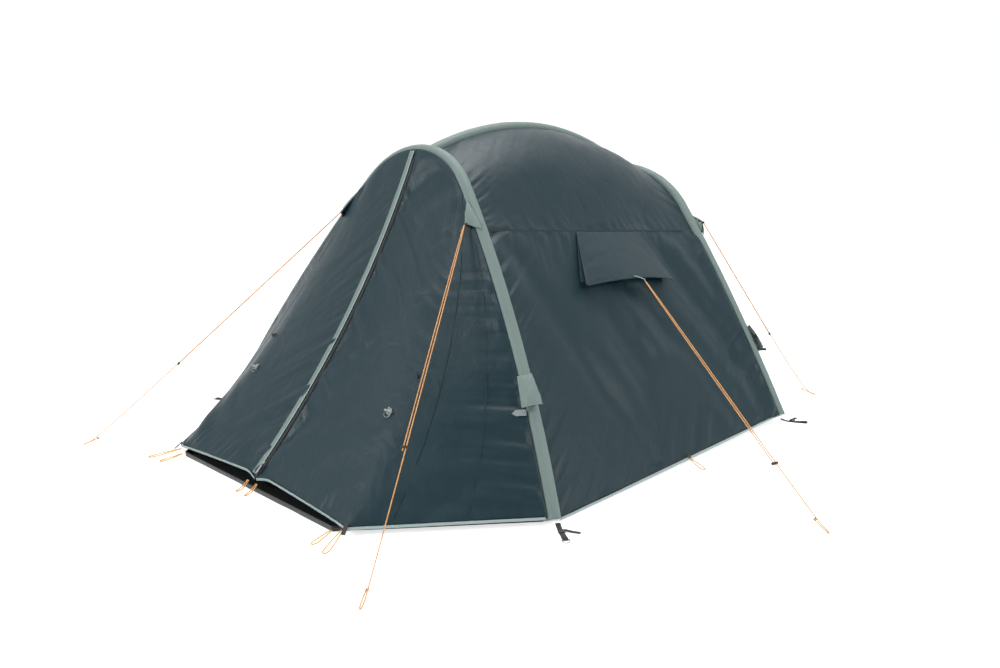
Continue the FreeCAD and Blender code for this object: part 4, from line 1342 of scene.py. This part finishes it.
@dataclass
class VentSet:
    """The side vents: mesh, hood, its lip, its side gussets and its guyline loop."""

    bench: Bench
    lines: Lines
    front_y: float = 0.955
    rear_y: float = 1.455
    margin: float = 0.040
    drop: float = 0.030
    height: float = 0.210
    reach: float = 0.290
    flare: float = 0.180
    stand: float = 0.050
    bow: float = 0.030
    lip_rise: float = 0.035

    def build(self) -> None:
        """Makes both vents."""
        for side in (1, -1):
            self.mesh(side)
            self.hood(side)
            self.lip(side)
            self.gusset(side, 0.0)
            self.gusset(side, 1.0)
            self.loop(side)

    def hole(self, side: int, inset: float) -> list[Vector]:
        """The corners of the vent's hole, drawn in by inset."""
        near, far = self.front_y + self.margin + inset, self.rear_y - self.margin - inset
        top, bottom = self.drop + inset, self.drop + self.height - inset
        places = ((near, top), (far, top), (far, bottom), (near, bottom))
        return [self.lines.wall_at(side, y, drop) for y, drop in places]

    @staticmethod
    def holds(corners: list[Vector], at: Vector) -> bool:
        """Whether a point is inside the hole, seen from the side."""
        turns = []
        for first, second in zip(corners, corners[1:] + corners[:1]):
            edge, to = second - first, at - first
            turns.append(edge.y * to.z - edge.z * to.y)
        return all(turn < 0 for turn in turns) or all(turn > 0 for turn in turns)

    def length_at(self, u: float, v: float) -> float:
        """Where a place of the hood is along the tent; its front edge flares towards the lip."""
        flare = self.flare * v * (1 - u)
        return self.front_y - flare + (self.rear_y - self.front_y + flare) * u

    def point(self, side: int, u: float, v: float) -> Vector:
        """The hood: u from its front edge to its rear one and v from the seam to the lip."""
        stand = 0.004 + (self.stand + self.bow * 4 * u * (1 - u)) * v
        reach = self.reach - self.lip_rise * 4 * u * (1 - u)
        at = self.lines.wall_at(side, self.length_at(u, v), 0.006 + reach * v)
        return at + Vector((side * stand, 0, 0))

    def mesh(self, side: int) -> None:
        """Makes the mosquito mesh in the hole."""
        a, b, c, d = self.hole(side, 0.0)
        out = Vector((side, 0, 0))
        bm = self.bench.grid(30, 16, lambda u, v: mix(mix(a, b, u), mix(d, c, u), v) - out * 0.001,
                             (0.45, 0.21), out)
        dress = Dress(Finishes.MESH, "vent_mesh", "tent", ("vent_meshes",) if side > 0 else ())
        self.bench.piece(f"vent_mesh_{word(side)}", bm, dress, 0.0004)

    def hood(self, side: int) -> None:
        """Makes the hood's cloth, pulled towards its guyline."""
        pull = Drift(0.0050, 0.055, 0.5, -0.85, 21.0 + side)
        slack = Gather(0.0035, 0.05, 0.12, 0.2, 22.0 + side)

        def relief(u: float, v: float, _: Vector) -> float:
            """The hood's folds."""
            ease = smooth(0, 0.2, v) * smooth(0, 0.08, u) * smooth(0, 0.08, 1 - u)
            return (pull.at(u * 0.55, v * 0.25) + slack.at(v * 0.25, u * 0.55)) * ease

        bm = self.bench.grid(90, 44, lambda u, v: self.point(side, u, v), (0.56, 0.25),
                             Vector((side, 0, 0.2)), relief)
        name = "vent_hood_" + word(side)
        made = self.bench.piece(name + "_cloth", bm, Dress(Finishes.FLY, "fly_cloth", name, (name,)), 0.0012)
        "side_wall_" + word(side)

    def lip(self, side: int) -> None:
        """Makes the bound edge along the hood's lip."""
        name = "vent_hood_" + word(side)
        self.bench.rod(name + "_lip", lambda v: self.point(side, 0.002 + 0.996 * v, 1.0) - UP * 0.001, 0.0048,
                       Dress(Finishes.FLY, "fly_cloth", name), 70, 10)
        self.bench.rod(name + "_edge", lambda v: self.point(side, 0.0, 0.04 + 0.96 * v), 0.0028,
                       Dress(Finishes.FLY, "fly_cloth", name), 40, 8)

    def gusset(self, side: int, u: float) -> None:
        """Makes the cloth that closes one end of the hood."""
        def wall(v: float) -> Vector:
            """The gusset's edge on the side wall."""
            inset = 0.02 * v * (1 if u < 0.5 else -1)
            at = self.lines.wall_at(side, self.length_at(u, v) + inset, 0.006 + self.reach * v * 0.97)
            return at + Vector((side * 0.002, 0, 0))

        def place(w: float, v: float) -> Vector:
            """A point of the gusset: w from the wall to the hood and v from the seam to the lip."""
            pinch = 0.010 * math.sin(math.pi * w) * v * (1 if u < 0.5 else -1)
            return mix(wall(v), self.point(side, u, v), w) + Vector((0, pinch, 0))

        bm = self.bench.grid(12, 34, place, (0.05, 0.25), Vector((0, -1 if u < 0.5 else 1, 0)))
        body = "vent_hood_" + word(side)
        end = "front" if u < 0.5 else "rear"
        made = self.bench.piece(f"{body}_gusset_{end}", bm, Dress(Finishes.FLY, "fly_cloth", ""), 0.0009)
        middle = wall(0.6)
        normal = Vector((side, 0, 0.62)).normalized()
        middle + normal * 0.001
        middle + normal * 0.040
        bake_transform(made)

    def loop(self, side: int) -> None:
        """Makes the light loop that holds the guyline at the hood's lip."""
        eye = flip(Vector((0.8180, 1.1280, 0.7860)), side)
        root = self.point(side, 0.45, 0.97)
        path = [root, mix(root, eye, 0.5) + UP * 0.003, eye + UP * 0.004,
                eye - UP * 0.004 + Vector((side * 0.002, 0, 0))]
        self.bench.ribbon(f"hood_loop_{word(side)}", path, Vector((0.1, 1, 0)), 0.012,
                          Dress(Finishes.LIGHT_TAPE, "webbing", "vent_hood_" + word(side)))


@dataclass
class GussetSet:
    """The folded cloth gussets that take the guylines' pull from the arches' sleeves."""

    bench: Bench
    lines: Lines
    share: float = 0.045
    wall: float = 0.0012

    def build(self) -> None:
        """Makes the four gussets, each with a dark inner half and mouth of painted shade, and a webbing loop.
        """
        for side in (1, -1):
            self.gusset("front", self.lines.front, 0.29, Vector((0.450, 0.262, 1.112)), side, -1)
            self.gusset("rear", self.lines.rear, 0.36, Vector((0.602, 2.022, 0.982)), side, 1)

    def gusset(self, name: str, arch: Arch, share: float, eye: Vector, side: int, facing: int) -> None:
        """Makes one gusset: a cone of cloth from the sleeve to the guyline's eye, open below, its inner half in
        dark fly cloth as painted shade and its open mouth a near-black sheet of painted shade.

        Args:
            name: the arch that it is on.
            arch: that arch.
            share: where it sits on the arch.
            eye: where the guyline goes round it, on the right.
            side: its side.
            facing: 1 where it looks to the rear, and -1 where it looks to the front.
        """
        stand = self.lines.sleeve + 0.0030
        eye = flip(eye, side)

        def root(u: float) -> Vector:
            """The cone's edge on the sleeve: up one side, over and down the other."""
            at = share + self.share * math.cos(2 * math.pi * u)
            turn = math.radians(25 + 105 * u)
            return (arch.point(at, side, stand * math.cos(turn))
                    + arch.back * (facing * stand * math.sin(turn)))

        def mouth(u: float) -> Vector:
            """The open end's edge on the sleeve."""
            turn = math.radians(25 + 105 * u)
            return (arch.point(share + self.share * 0.7, side, stand * math.cos(turn))
                    + arch.back * (facing * stand * math.sin(turn)))

        label = f"gusset_{name}_{word(side)}"
        out = arch.outward(share, side) + arch.back * facing
        down = arch.downward(share, side)
        crease = Drift(0.0040, 0.016, 0.12, 0.4, 31.0 + side)
        # The inner half takes the dark fly cloth as painted shade, and the mouth is a near-black sheet of
        # painted shade in the open end.
        cloths = (("outer", root, 0.0, 0.58, Finishes.SLEEVE, "sleeve_cloth", out, ("guy_gussets",)),
                  ("inner", root, 0.58, 1.0, Finishes.FLY, "fly_cloth", out, ()),
                  ("mouth", mouth, 0.0, 1.0, Finishes.SHADOW, "fly_cloth", down, ()))
        for part, edge, low, high, finish, slot, look, nodes in cloths:
            def place(u: float, v: float) -> Vector:
                """A point of the cloth between its edge and the eye."""
                swollen = 0.007 * math.sin(math.pi * v) * math.sin(math.pi * u)
                return mix(edge(low + (high - low) * u), eye, v) + look.normalized() * swollen

            stands_for = nodes if name == "front" and side > 0 else ()
            bm = self.bench.grid(16, 24, place, (0.12, 0.14), look,
                                 lambda u, v, _: crease.at(u * 0.12, v * 0.14) * math.sin(math.pi * v))
            self.bench.piece(f"{label}_{part}", bm, Dress(finish, slot, "tent", stands_for), self.wall)
        low_edge = mix(mouth(0.3), eye, 0.86)
        path = [low_edge, mix(low_edge, eye, 0.7), eye + down * 0.004, eye + down * 0.012]
        self.bench.ribbon(label + "_loop", path, arch.back.cross(down), 0.012, WEBBING)


@dataclass
class TrimSet:
    """Foot straps and rings, corner tabs, valve flaps and valves, and door toggles."""

    bench: Bench
    lines: Lines
    strap_width: float = 0.025
    strap_length: float = 0.105

    def build(self) -> None:
        """Makes every small fitting."""
        for side in (1, -1):
            self.foot(side, "front", Vector((1.2185, 0, 0)), Vector((0.80, -0.60, 0)))
            self.foot(side, "rear", Vector((1.2975, 1.760, 0)), Vector((0.9023, 0.4311, 0)))
            self.corner_tab(side)
            self.side_tab(side)
            self.toggle(side)
        for node in ("foot_ring_front_right", "foot_ring_front_left"):
            self.bench.keep(node, Finishes.RING)
        for node in ("valve_bodies", "valve_cap_front", "valve_cap_rear"):
            self.bench.keep(node, Finishes.VALVE)
        for run in CORDS[:3]:
            for side in (1, -1):
                self.bench.keep(run.name.replace("guyline", "runner") + "_" + word(side), Finishes.RUNNER)
        self.valve_flap("front", self.lines.front, 0.73, -1)
        self.valve_flap("rear", self.lines.rear, 0.76, 1)
        self.pointed_tab()
        self.rear_tab()

    def foot(self, side: int, end: str, foot: Vector, heading: Vector) -> None:
        """Makes a foot's strap: webbing from the sleeve's foot to its folded loop, and a loose tail."""
        foot, heading = flip(foot, side), flip(heading, side).normalized()
        across = Vector((-heading.y, heading.x, 0))
        stands_for = ("foot_straps",) if side > 0 and end == "front" else ()
        strap = Dress(Finishes.STRAP, "webbing", "tent", stands_for)
        reach = self.strap_length
        steps = ((-0.02, 0.012), (0.012, 0.0035), (0.04, 0.0012), (reach - 0.012, 0.0012),
                 (reach - 0.002, 0.0010), (reach + 0.010, 0.0045), (reach - 0.001, 0.0082),
                 (reach - 0.016, 0.0062), (reach - 0.050, 0.0036))
        path = [foot + heading * run + UP * height for run, height in steps]
        label = f"foot_strap_{end}_{word(side)}"
        self.bench.ribbon(label, path, across, self.strap_width - 0.004, strap, 0.0012, 90)
        tail = (across * side + heading * 0.4).normalized()
        start = foot + heading * 0.030
        steps = ((0.0, 0.0050), (0.02, 0.0075), (0.045, 0.0035), (0.078, 0.0014))
        path = [start + tail * run + UP * height for run, height in steps]
        self.bench.ribbon(label + "_tail", path, tail.cross(UP), 0.018, WEBBING, 0.0012)
        bm = bmesh.new()
        bmesh.ops.create_cube(bm, size=1.0)
        middle = foot + heading * 0.046 + UP * 0.0066
        for vert in bm.verts:
            x, y, z = vert.co
            vert.co = middle + heading * (x * 0.014) + across * (y * 0.030) + UP * (z * 0.005)
        bmesh.ops.bevel(bm, geom=bm.edges[:], affect="EDGES", segments=2, offset=0.0015, profile=0.5,
                        material=-1)
        self.bench.piece(label + "_buckle", bm, Dress(Finishes.VALVE, "runner_plastic"))

    def corner_tab(self, side: int) -> None:
        """Makes the webbing tab at a porch corner that holds its peg loops."""
        corner = flip(self.lines.corner, side)
        out = Vector((side * 0.45, -0.90, 0)).normalized()
        path = [corner + UP * 0.010, corner + out * 0.010 + UP * 0.001, corner + out * 0.028 - UP * 0.014,
                corner + out * 0.036 - UP * 0.020]
        self.bench.ribbon(f"corner_tab_{word(side)}", path, out.cross(UP), 0.018, WEBBING)

    def side_tab(self, side: int) -> None:
        """Makes the tab at the middle of a side wall's hem."""
        base = flip(Vector((1.232, 0.918, 0.040)), side)
        out = Vector((side, -0.2, 0)).normalized()
        path = [base + UP * 0.006, base + out * 0.006 - UP * 0.004, base + out * 0.012 - UP * 0.014]
        self.bench.ribbon(f"side_tab_{word(side)}", path, out.cross(UP), 0.016, WEBBING)

    def toggle(self, side: int) -> None:
        """Finishes a door toggle, and makes its patch and elastic loop."""
        name = "toggle_" + word(side)
        self.bench.keep(name, Finishes.TOGGLE)
        at = self.lines.door(side, 0.9, 0.69)
        inward = self.lines.inward
        down = (self.lines.zip_foot - self.lines.zip_top).normalized()

        def patch(u: float, v: float) -> Vector:
            """A point of the patch."""
            return self.lines.door(side, 0.9 + 0.05 * (u - 0.5), 0.69 + 0.020 * (v - 0.5)) - inward * 0.004

        bm = self.bench.grid(8, 8, patch, (0.03, 0.034), -inward)
        self.bench.piece(name + "_patch", bm, Dress(Finishes.LIGHT_TAPE, "webbing"), 0.001)

        def ring(v: float) -> Vector:
            """The elastic's line, round the toggle's neck."""
            turn = 2 * math.pi * v
            across = Vector((0.019 * math.cos(turn), 0, 0))
            drop = down * (0.016 * math.sin(turn) + 0.012)
            return at - inward * (0.0065 + 0.001 * math.sin(turn)) + across + drop

        self.bench.rod(name + "_elastic", ring, 0.0013, Dress(Finishes.TOGGLE, "webbing"), 60, 8)

    def valve_flap(self, name: str, arch: Arch, share: float, facing: int) -> None:
        """Makes the light cloth flap over a valve, open at its bottom, with a bound edge."""
        axis = (arch.outward(share) + arch.back * facing).normalized()
        down = arch.downward(share)
        across = axis.cross(down).normalized()
        top = arch.point(share) + axis * (self.lines.rim + 0.001) - down * 0.070
        crumple = Drift(0.0040, 0.022, 0.09, 0.5, 41.0 + share)

        def place(u: float, v: float) -> Vector:
            """A point of the flap."""
            opening = math.sin(math.pi / 2 * min(1.0, 1.25 * v))
            rise = 0.026 * opening * (1 - 0.45 * (2 * u - 1) ** 2)
            return top + down * (0.14 * v) + axis * rise + across * (0.088 * (u - 0.5) * (0.72 + 0.28 * v))

        bm = self.bench.grid(34, 48, place, (0.088, 0.14), axis,
                             lambda u, v, _: abs(crumple.at(u * 0.09, v * 0.14)) * smooth(0, 0.2, v))
        node = "valve_flap_" + name
        dress = Dress(Finishes.SLEEVE, "sleeve_cloth", node, (node,))
        made = self.bench.piece(node + "_cloth", bm, dress, 0.0012)
        self.bench.rod(node + "_hem", lambda v: place(0.01 + 0.98 * v, 0.985) + axis * 0.001, 0.0020,
                       Dress(Finishes.SLEEVE, "sleeve_cloth", node), 40, 8)

    def pointed_tab(self) -> None:
        """Makes the small pointed tab beside the front valve's flap."""
        share = 0.775
        root = self.lines.front.point(share, 1, 0.004, -self.lines.sleeve - 0.006)
        out = (self.lines.porch(1, 1.86, share + 0.02) - self.lines.porch(1, 1.99, share + 0.02)).normalized()
        lift = Vector((0.25, -0.85, 0.45)).normalized()
        down = out.cross(lift).normalized()

        def place(u: float, v: float) -> Vector:
            """A point of the tab, drawn in to its tip."""
            width = 0.026 * (1 if v < 0.7 else max(0.08, (1 - v) / 0.3))
            rise = lift * (0.006 + 0.004 * math.sin(math.pi * v))
            return root + out * (0.060 * v) + down * (width * (u - 0.5)) + rise

        bm = self.bench.grid(8, 24, place, (0.026, 0.06), lift)
        self.bench.piece("valve_tab", bm, Dress(Finishes.LIGHT_TAPE, "webbing"), 0.0014)

    def rear_tab(self) -> None:
        """Makes the short tabs on the rear arch's legs and on the porch's folds, on both sides."""
        for side in (1, -1):
            root = self.lines.rear.point(0.80, side, 0.030, 0.010)
            out = flip(Vector((0.75, 0.65, 0.12)), side).normalized()
            path = [root, root + out * 0.022, root + out * 0.044 - UP * 0.003]
            self.bench.ribbon(f"rear_tab_{word(side)}", path, UP, 0.014, WEBBING)
            root = self.lines.porch(side, 1.02, 0.57)
            out = flip(Vector((0.9, -0.4, -0.1)), side).normalized()
            path = [root - out * 0.004, root + out * 0.012, root + out * 0.024 - UP * 0.002]
            self.bench.ribbon(f"fold_tab_{word(side)}", path, UP, 0.016, WEBBING)


@dataclass
class Ground:
    """The groundsheet with its upstand."""

    bench: Bench
    nose_y: float = -0.618
    nose_half: float = 0.590
    front_half: float = 1.1395
    rear_y: float = 1.760
    rear_half: float = 1.2185
    upstand: float = 0.025
    thickness: float = 0.003

    def half(self, y: float) -> float:
        """Half the sheet's width at one length."""
        if y < 0:
            return self.nose_half + (self.front_half - self.nose_half) * (y - self.nose_y) / -self.nose_y
        return self.front_half + (self.rear_half - self.front_half) * y / self.rear_y

    def build(self) -> None:
        """Makes the sheet."""
        def place(u: float, v: float) -> Vector:
            """A point of the sheet, whose last rows and columns stand up."""
            lip = 0.03
            across = min(1.0, abs(2 * u - 1) / (1 - lip))
            along = min(1.0, max(0.0, (v - lip) / (1 - 2 * lip)))
            y = self.nose_y + (self.rear_y - self.nose_y) * along
            up = max(0.0, abs(2 * u - 1) - (1 - lip), lip - v, v - (1 - lip)) / lip
            x = math.copysign(self.half(y) * across, u - 0.5)
            wave = 0.0025 * smooth(-0.1, 0.6, swell(x * 5, y * 5, 7.7)) if up < 0.01 else 0.0
            height = self.thickness + wave + (self.upstand - self.thickness) * min(1.0, up)
            return Vector((x, y, height))

        bm = self.bench.grid(132, 132, place, (2.4, 2.4), UP)
        dress = Dress(Finishes.GROUND, "groundsheet", "tent", ("groundsheet",))
        made = self.bench.piece("groundsheet_cloth", bm, dress, 0.0022)


@dataclass
class InnerTent:
    """The hanging inner tent: its canopy, end walls, door and the straps that hold it."""

    bench: Bench
    front_y: float = 0.550
    rear_y: float = 1.685
    section: tuple[tuple[float, float], ...] = ((1.040, 0.004), (0.790, 0.450), (0.390, 1.060), (0.0, 1.180))
    door_half: float = 0.210
    door_sill: float = 0.110
    door_top: float = 0.800

    def outline(self, share: float) -> Vector:
        """The canopy's cross-section from the left floor edge over the top to the right one."""
        side = -1 if share < 0.5 else 1
        run = abs(2 * share - 1) * 3
        index = min(2, int(run))
        top, low = self.section[3 - index], self.section[2 - index]
        s = run - index
        return Vector((side * (top[0] + (low[0] - top[0]) * s), 0, top[1] + (low[1] - top[1]) * s))

    def build(self) -> None:
        """Makes the inner tent."""
        self.canopy()
        self.end("front", self.front_y, -1)
        self.end("rear", self.rear_y, 1)
        self.door()
        self.hangers()

    def canopy(self) -> None:
        """Makes the canopy, which sags between its hangers."""
        def place(u: float, v: float) -> Vector:
            """A point of the canopy."""
            at = self.outline(u)
            sag = 0.012 * math.sin(math.pi * v) + 0.004 * swell(u * 9, v * 7, 2.2) * math.sin(math.pi * v)
            at.y = self.front_y + (self.rear_y - self.front_y) * v
            inward = Vector((-at.x, 0, 0.5 - at.z)).normalized()
            return at + inward * (sag * smooth(0.0, 0.12, min(u, 1 - u)))

        bm = self.bench.grid(90, 40, place, (3.1, 1.135), UP)
        dress = Dress(Finishes.INNER, "inner_cloth", "tent", ("inner_tent",))
        made = self.bench.piece("inner_canopy", bm, dress, 0.0008)

    def end(self, name: str, y: float, facing: int) -> None:
        """Makes an end wall, with the door's hole in the front one."""
        def place(u: float, v: float) -> Vector:
            """A point of the wall."""
            edge = self.outline(0.5 + 0.5 * v)
            billow = 0.006 * swell(u * 5, v * 5, 5.5) * math.sin(math.pi * v) * math.sin(math.pi * u)
            return Vector((edge.x * (2 * u - 1), y - facing * abs(billow), edge.z))

        bm = self.bench.grid(60, 50, place, (2.0, 1.18), Vector((0, facing, 0)))
        if facing < 0:
            cuts = (((-self.door_half, 0, 0), (1, 0, 0)), ((self.door_half, 0, 0), (1, 0, 0)),
                    ((0, 0, self.door_sill), (0, 0, 1)), ((0, 0, self.door_top), (0, 0, 1)))
            for at, across in cuts:
                self.bench.cut(bm, at, across)
            hole = [face for face in bm.faces if abs(face.calc_center_median().x) < self.door_half
                    and self.door_sill < face.calc_center_median().z < self.door_top]
            bmesh.ops.delete(bm, geom=hole, context="FACES")
        self.bench.piece(f"inner_end_{name}", bm, Dress(Finishes.INNER, "inner_cloth"), 0.0008)

    def door(self) -> None:
        """Makes the inner door."""
        half, low, top = self.door_half - 0.003, self.door_sill + 0.003, self.door_top - 0.003

        def place(u: float, v: float) -> Vector:
            """A point of the door, with its upper corners drawn in."""
            trim = 0.09 * smooth(0.9, 1.0, v)
            y = self.front_y + 0.001 + 0.0008 * swell(u * 6, v * 8, 1.1)
            return Vector(((2 * u - 1) * (half - trim), y, low + (top - low) * v))

        bm = self.bench.grid(20, 34, place, (0.42, 0.69), Vector((0, -1, 0)))
        dress = Dress(Finishes.INNER, "inner_cloth", "inner_door", ("inner_door",))
        made = self.bench.piece("inner_door_cloth", bm, dress, 0.0008)

    def hangers(self) -> None:
        """Makes the straps that hang the canopy from the fly."""
        for y in (0.60, 1.12, 1.62):
            for x, low, high in ((0.0, 1.168, 1.345), (0.40, 1.045, 1.095), (-0.40, 1.045, 1.095)):
                path = [Vector((x, y, low)), Vector((x, y, (low + high) / 2)), Vector((x, y, high))]
                label = f"hanger_{round(y * 100)}_{'mid' if not x else word(1 if x > 0 else -1)}"
                self.bench.ribbon(label, path, Vector((0, 1, 0)), 0.010, WEBBING, 0.0012, 8)


@dataclass
class Studio:
    """The camera, the pale floor and the soft lights."""

    azimuth: float = math.radians(43.396)
    pitch: float = math.radians(13.485)
    roll: float = math.radians(-0.49)
    place: tuple[float, float, float] = (3.216, -2.408, 1.536)
    lens: float = 31.259
    shift_x: float = -0.0053
    shift_y: float = -0.0014
    near_sky: tuple[float, float, float] = (0.16, 0.17, 0.18)
    far_sky: tuple[float, float, float] = (1.10, 1.10, 1.10)
    boxes: tuple[tuple[str, tuple[float, float, float], float, float], ...] = (
        ("key", (-1.6, -6.0, 4.6), 1.8, 330.0), ("fill", (6.5, 1.5, 3.4), 1.6, 170.0),
        ("top", (-0.5, 2.0, 6.5), 4.0, 300.0))

    def build(self) -> None:
        """Makes the studio."""
        self.camera()
        self.floor()
        self.lights()

    def camera(self) -> None:
        """Makes the camera and turns it to its view."""
        data = bpy.data.cameras.new("camera")
        data.lens, data.sensor_width = self.lens, 36.0
        data.shift_x, data.shift_y = self.shift_x, self.shift_y
        data.clip_end = 200
        made = bpy.data.objects.new("camera", data)
        bpy.context.scene.collection.objects.link(made)
        sin_a, cos_a, sin_e, cos_e = (math.sin(self.azimuth), math.cos(self.azimuth), math.sin(self.pitch),
                                      math.cos(self.pitch))
        ahead = Vector((-sin_a * cos_e, cos_a * cos_e, -sin_e))
        right = Vector((cos_a, sin_a, 0))
        up = right.cross(ahead)
        across = right * math.cos(self.roll) + up * math.sin(self.roll)
        above = up * math.cos(self.roll) - right * math.sin(self.roll)
        made.matrix_world = turn_to(across, above, -ahead)
        made.location = self.place
        bpy.context.scene.camera = made

    def floor(self) -> None:
        """Makes the floor."""
        bm = bmesh.new()
        bmesh.ops.create_grid(bm, x_segments=1, y_segments=1, size=60.0)
        mesh = bpy.data.meshes.new("studio_floor")
        bm.to_mesh(mesh)
        bm.free()
        made = bpy.data.objects.new("studio_floor", mesh)
        bpy.context.scene.collection.objects.link(made)
        mesh.materials.append(Finishes.FLOOR.value.material())

    def lights(self) -> None:
        """Makes the white surround and the soft boxes."""
        scene = bpy.context.scene
        scene.view_settings.view_transform = "Standard"
        world = bpy.data.worlds.new("studio_world")
        scene.world = world
        paint = Paint("studio_world", world)
        across, ahead, _ = paint.axes(paint.place("Generated"))
        share = (ahead * 0.36 - across * 0.34 + 0.5) ** 1.4
        colour = paint.tint(share, self.near_sky, self.far_sky)
        sky = paint.node("ShaderNodeBackground", None, {"Color": colour})
        paint.node("ShaderNodeOutputWorld", None, {"Surface": paint.out(sky)})
        for name, place, size, power in self.boxes:
            data = bpy.data.lights.new(name, "AREA")
            data.size, data.energy = size, power
            made = bpy.data.objects.new(name, data)
            bpy.context.scene.collection.objects.link(made)
            made.location = place
            made.rotation_mode = "QUATERNION"
            made.rotation_quaternion = (Vector((0, 0.5, 0.5)) - Vector(place)).to_track_quat("-Z", "Y")


def turn_to(across: Vector, above: Vector, behind: Vector) -> Matrix:
    """The turn whose X, Y and Z axes are three directions."""
    return Matrix((across, above, behind)).transposed().to_4x4()


def main() -> None:
    """Builds the tent's pieces in order."""
    logging.basicConfig(level=logging.INFO, format="%(name)s: %(message)s")
    lines = Lines()
    bench = Bench(lines)
    Studio().build()
    CordSet(bench).build()
    SleeveSet(bench, lines).build()
    FlySheet(bench, lines).build()
    Porch(bench, lines).build()
    VentSet(bench, lines).build()
    GussetSet(bench, lines).build()
    TrimSet(bench, lines).build()
    Ground(bench).build()
    InnerTent(bench).build()


if __name__ == "__main__":
    main()
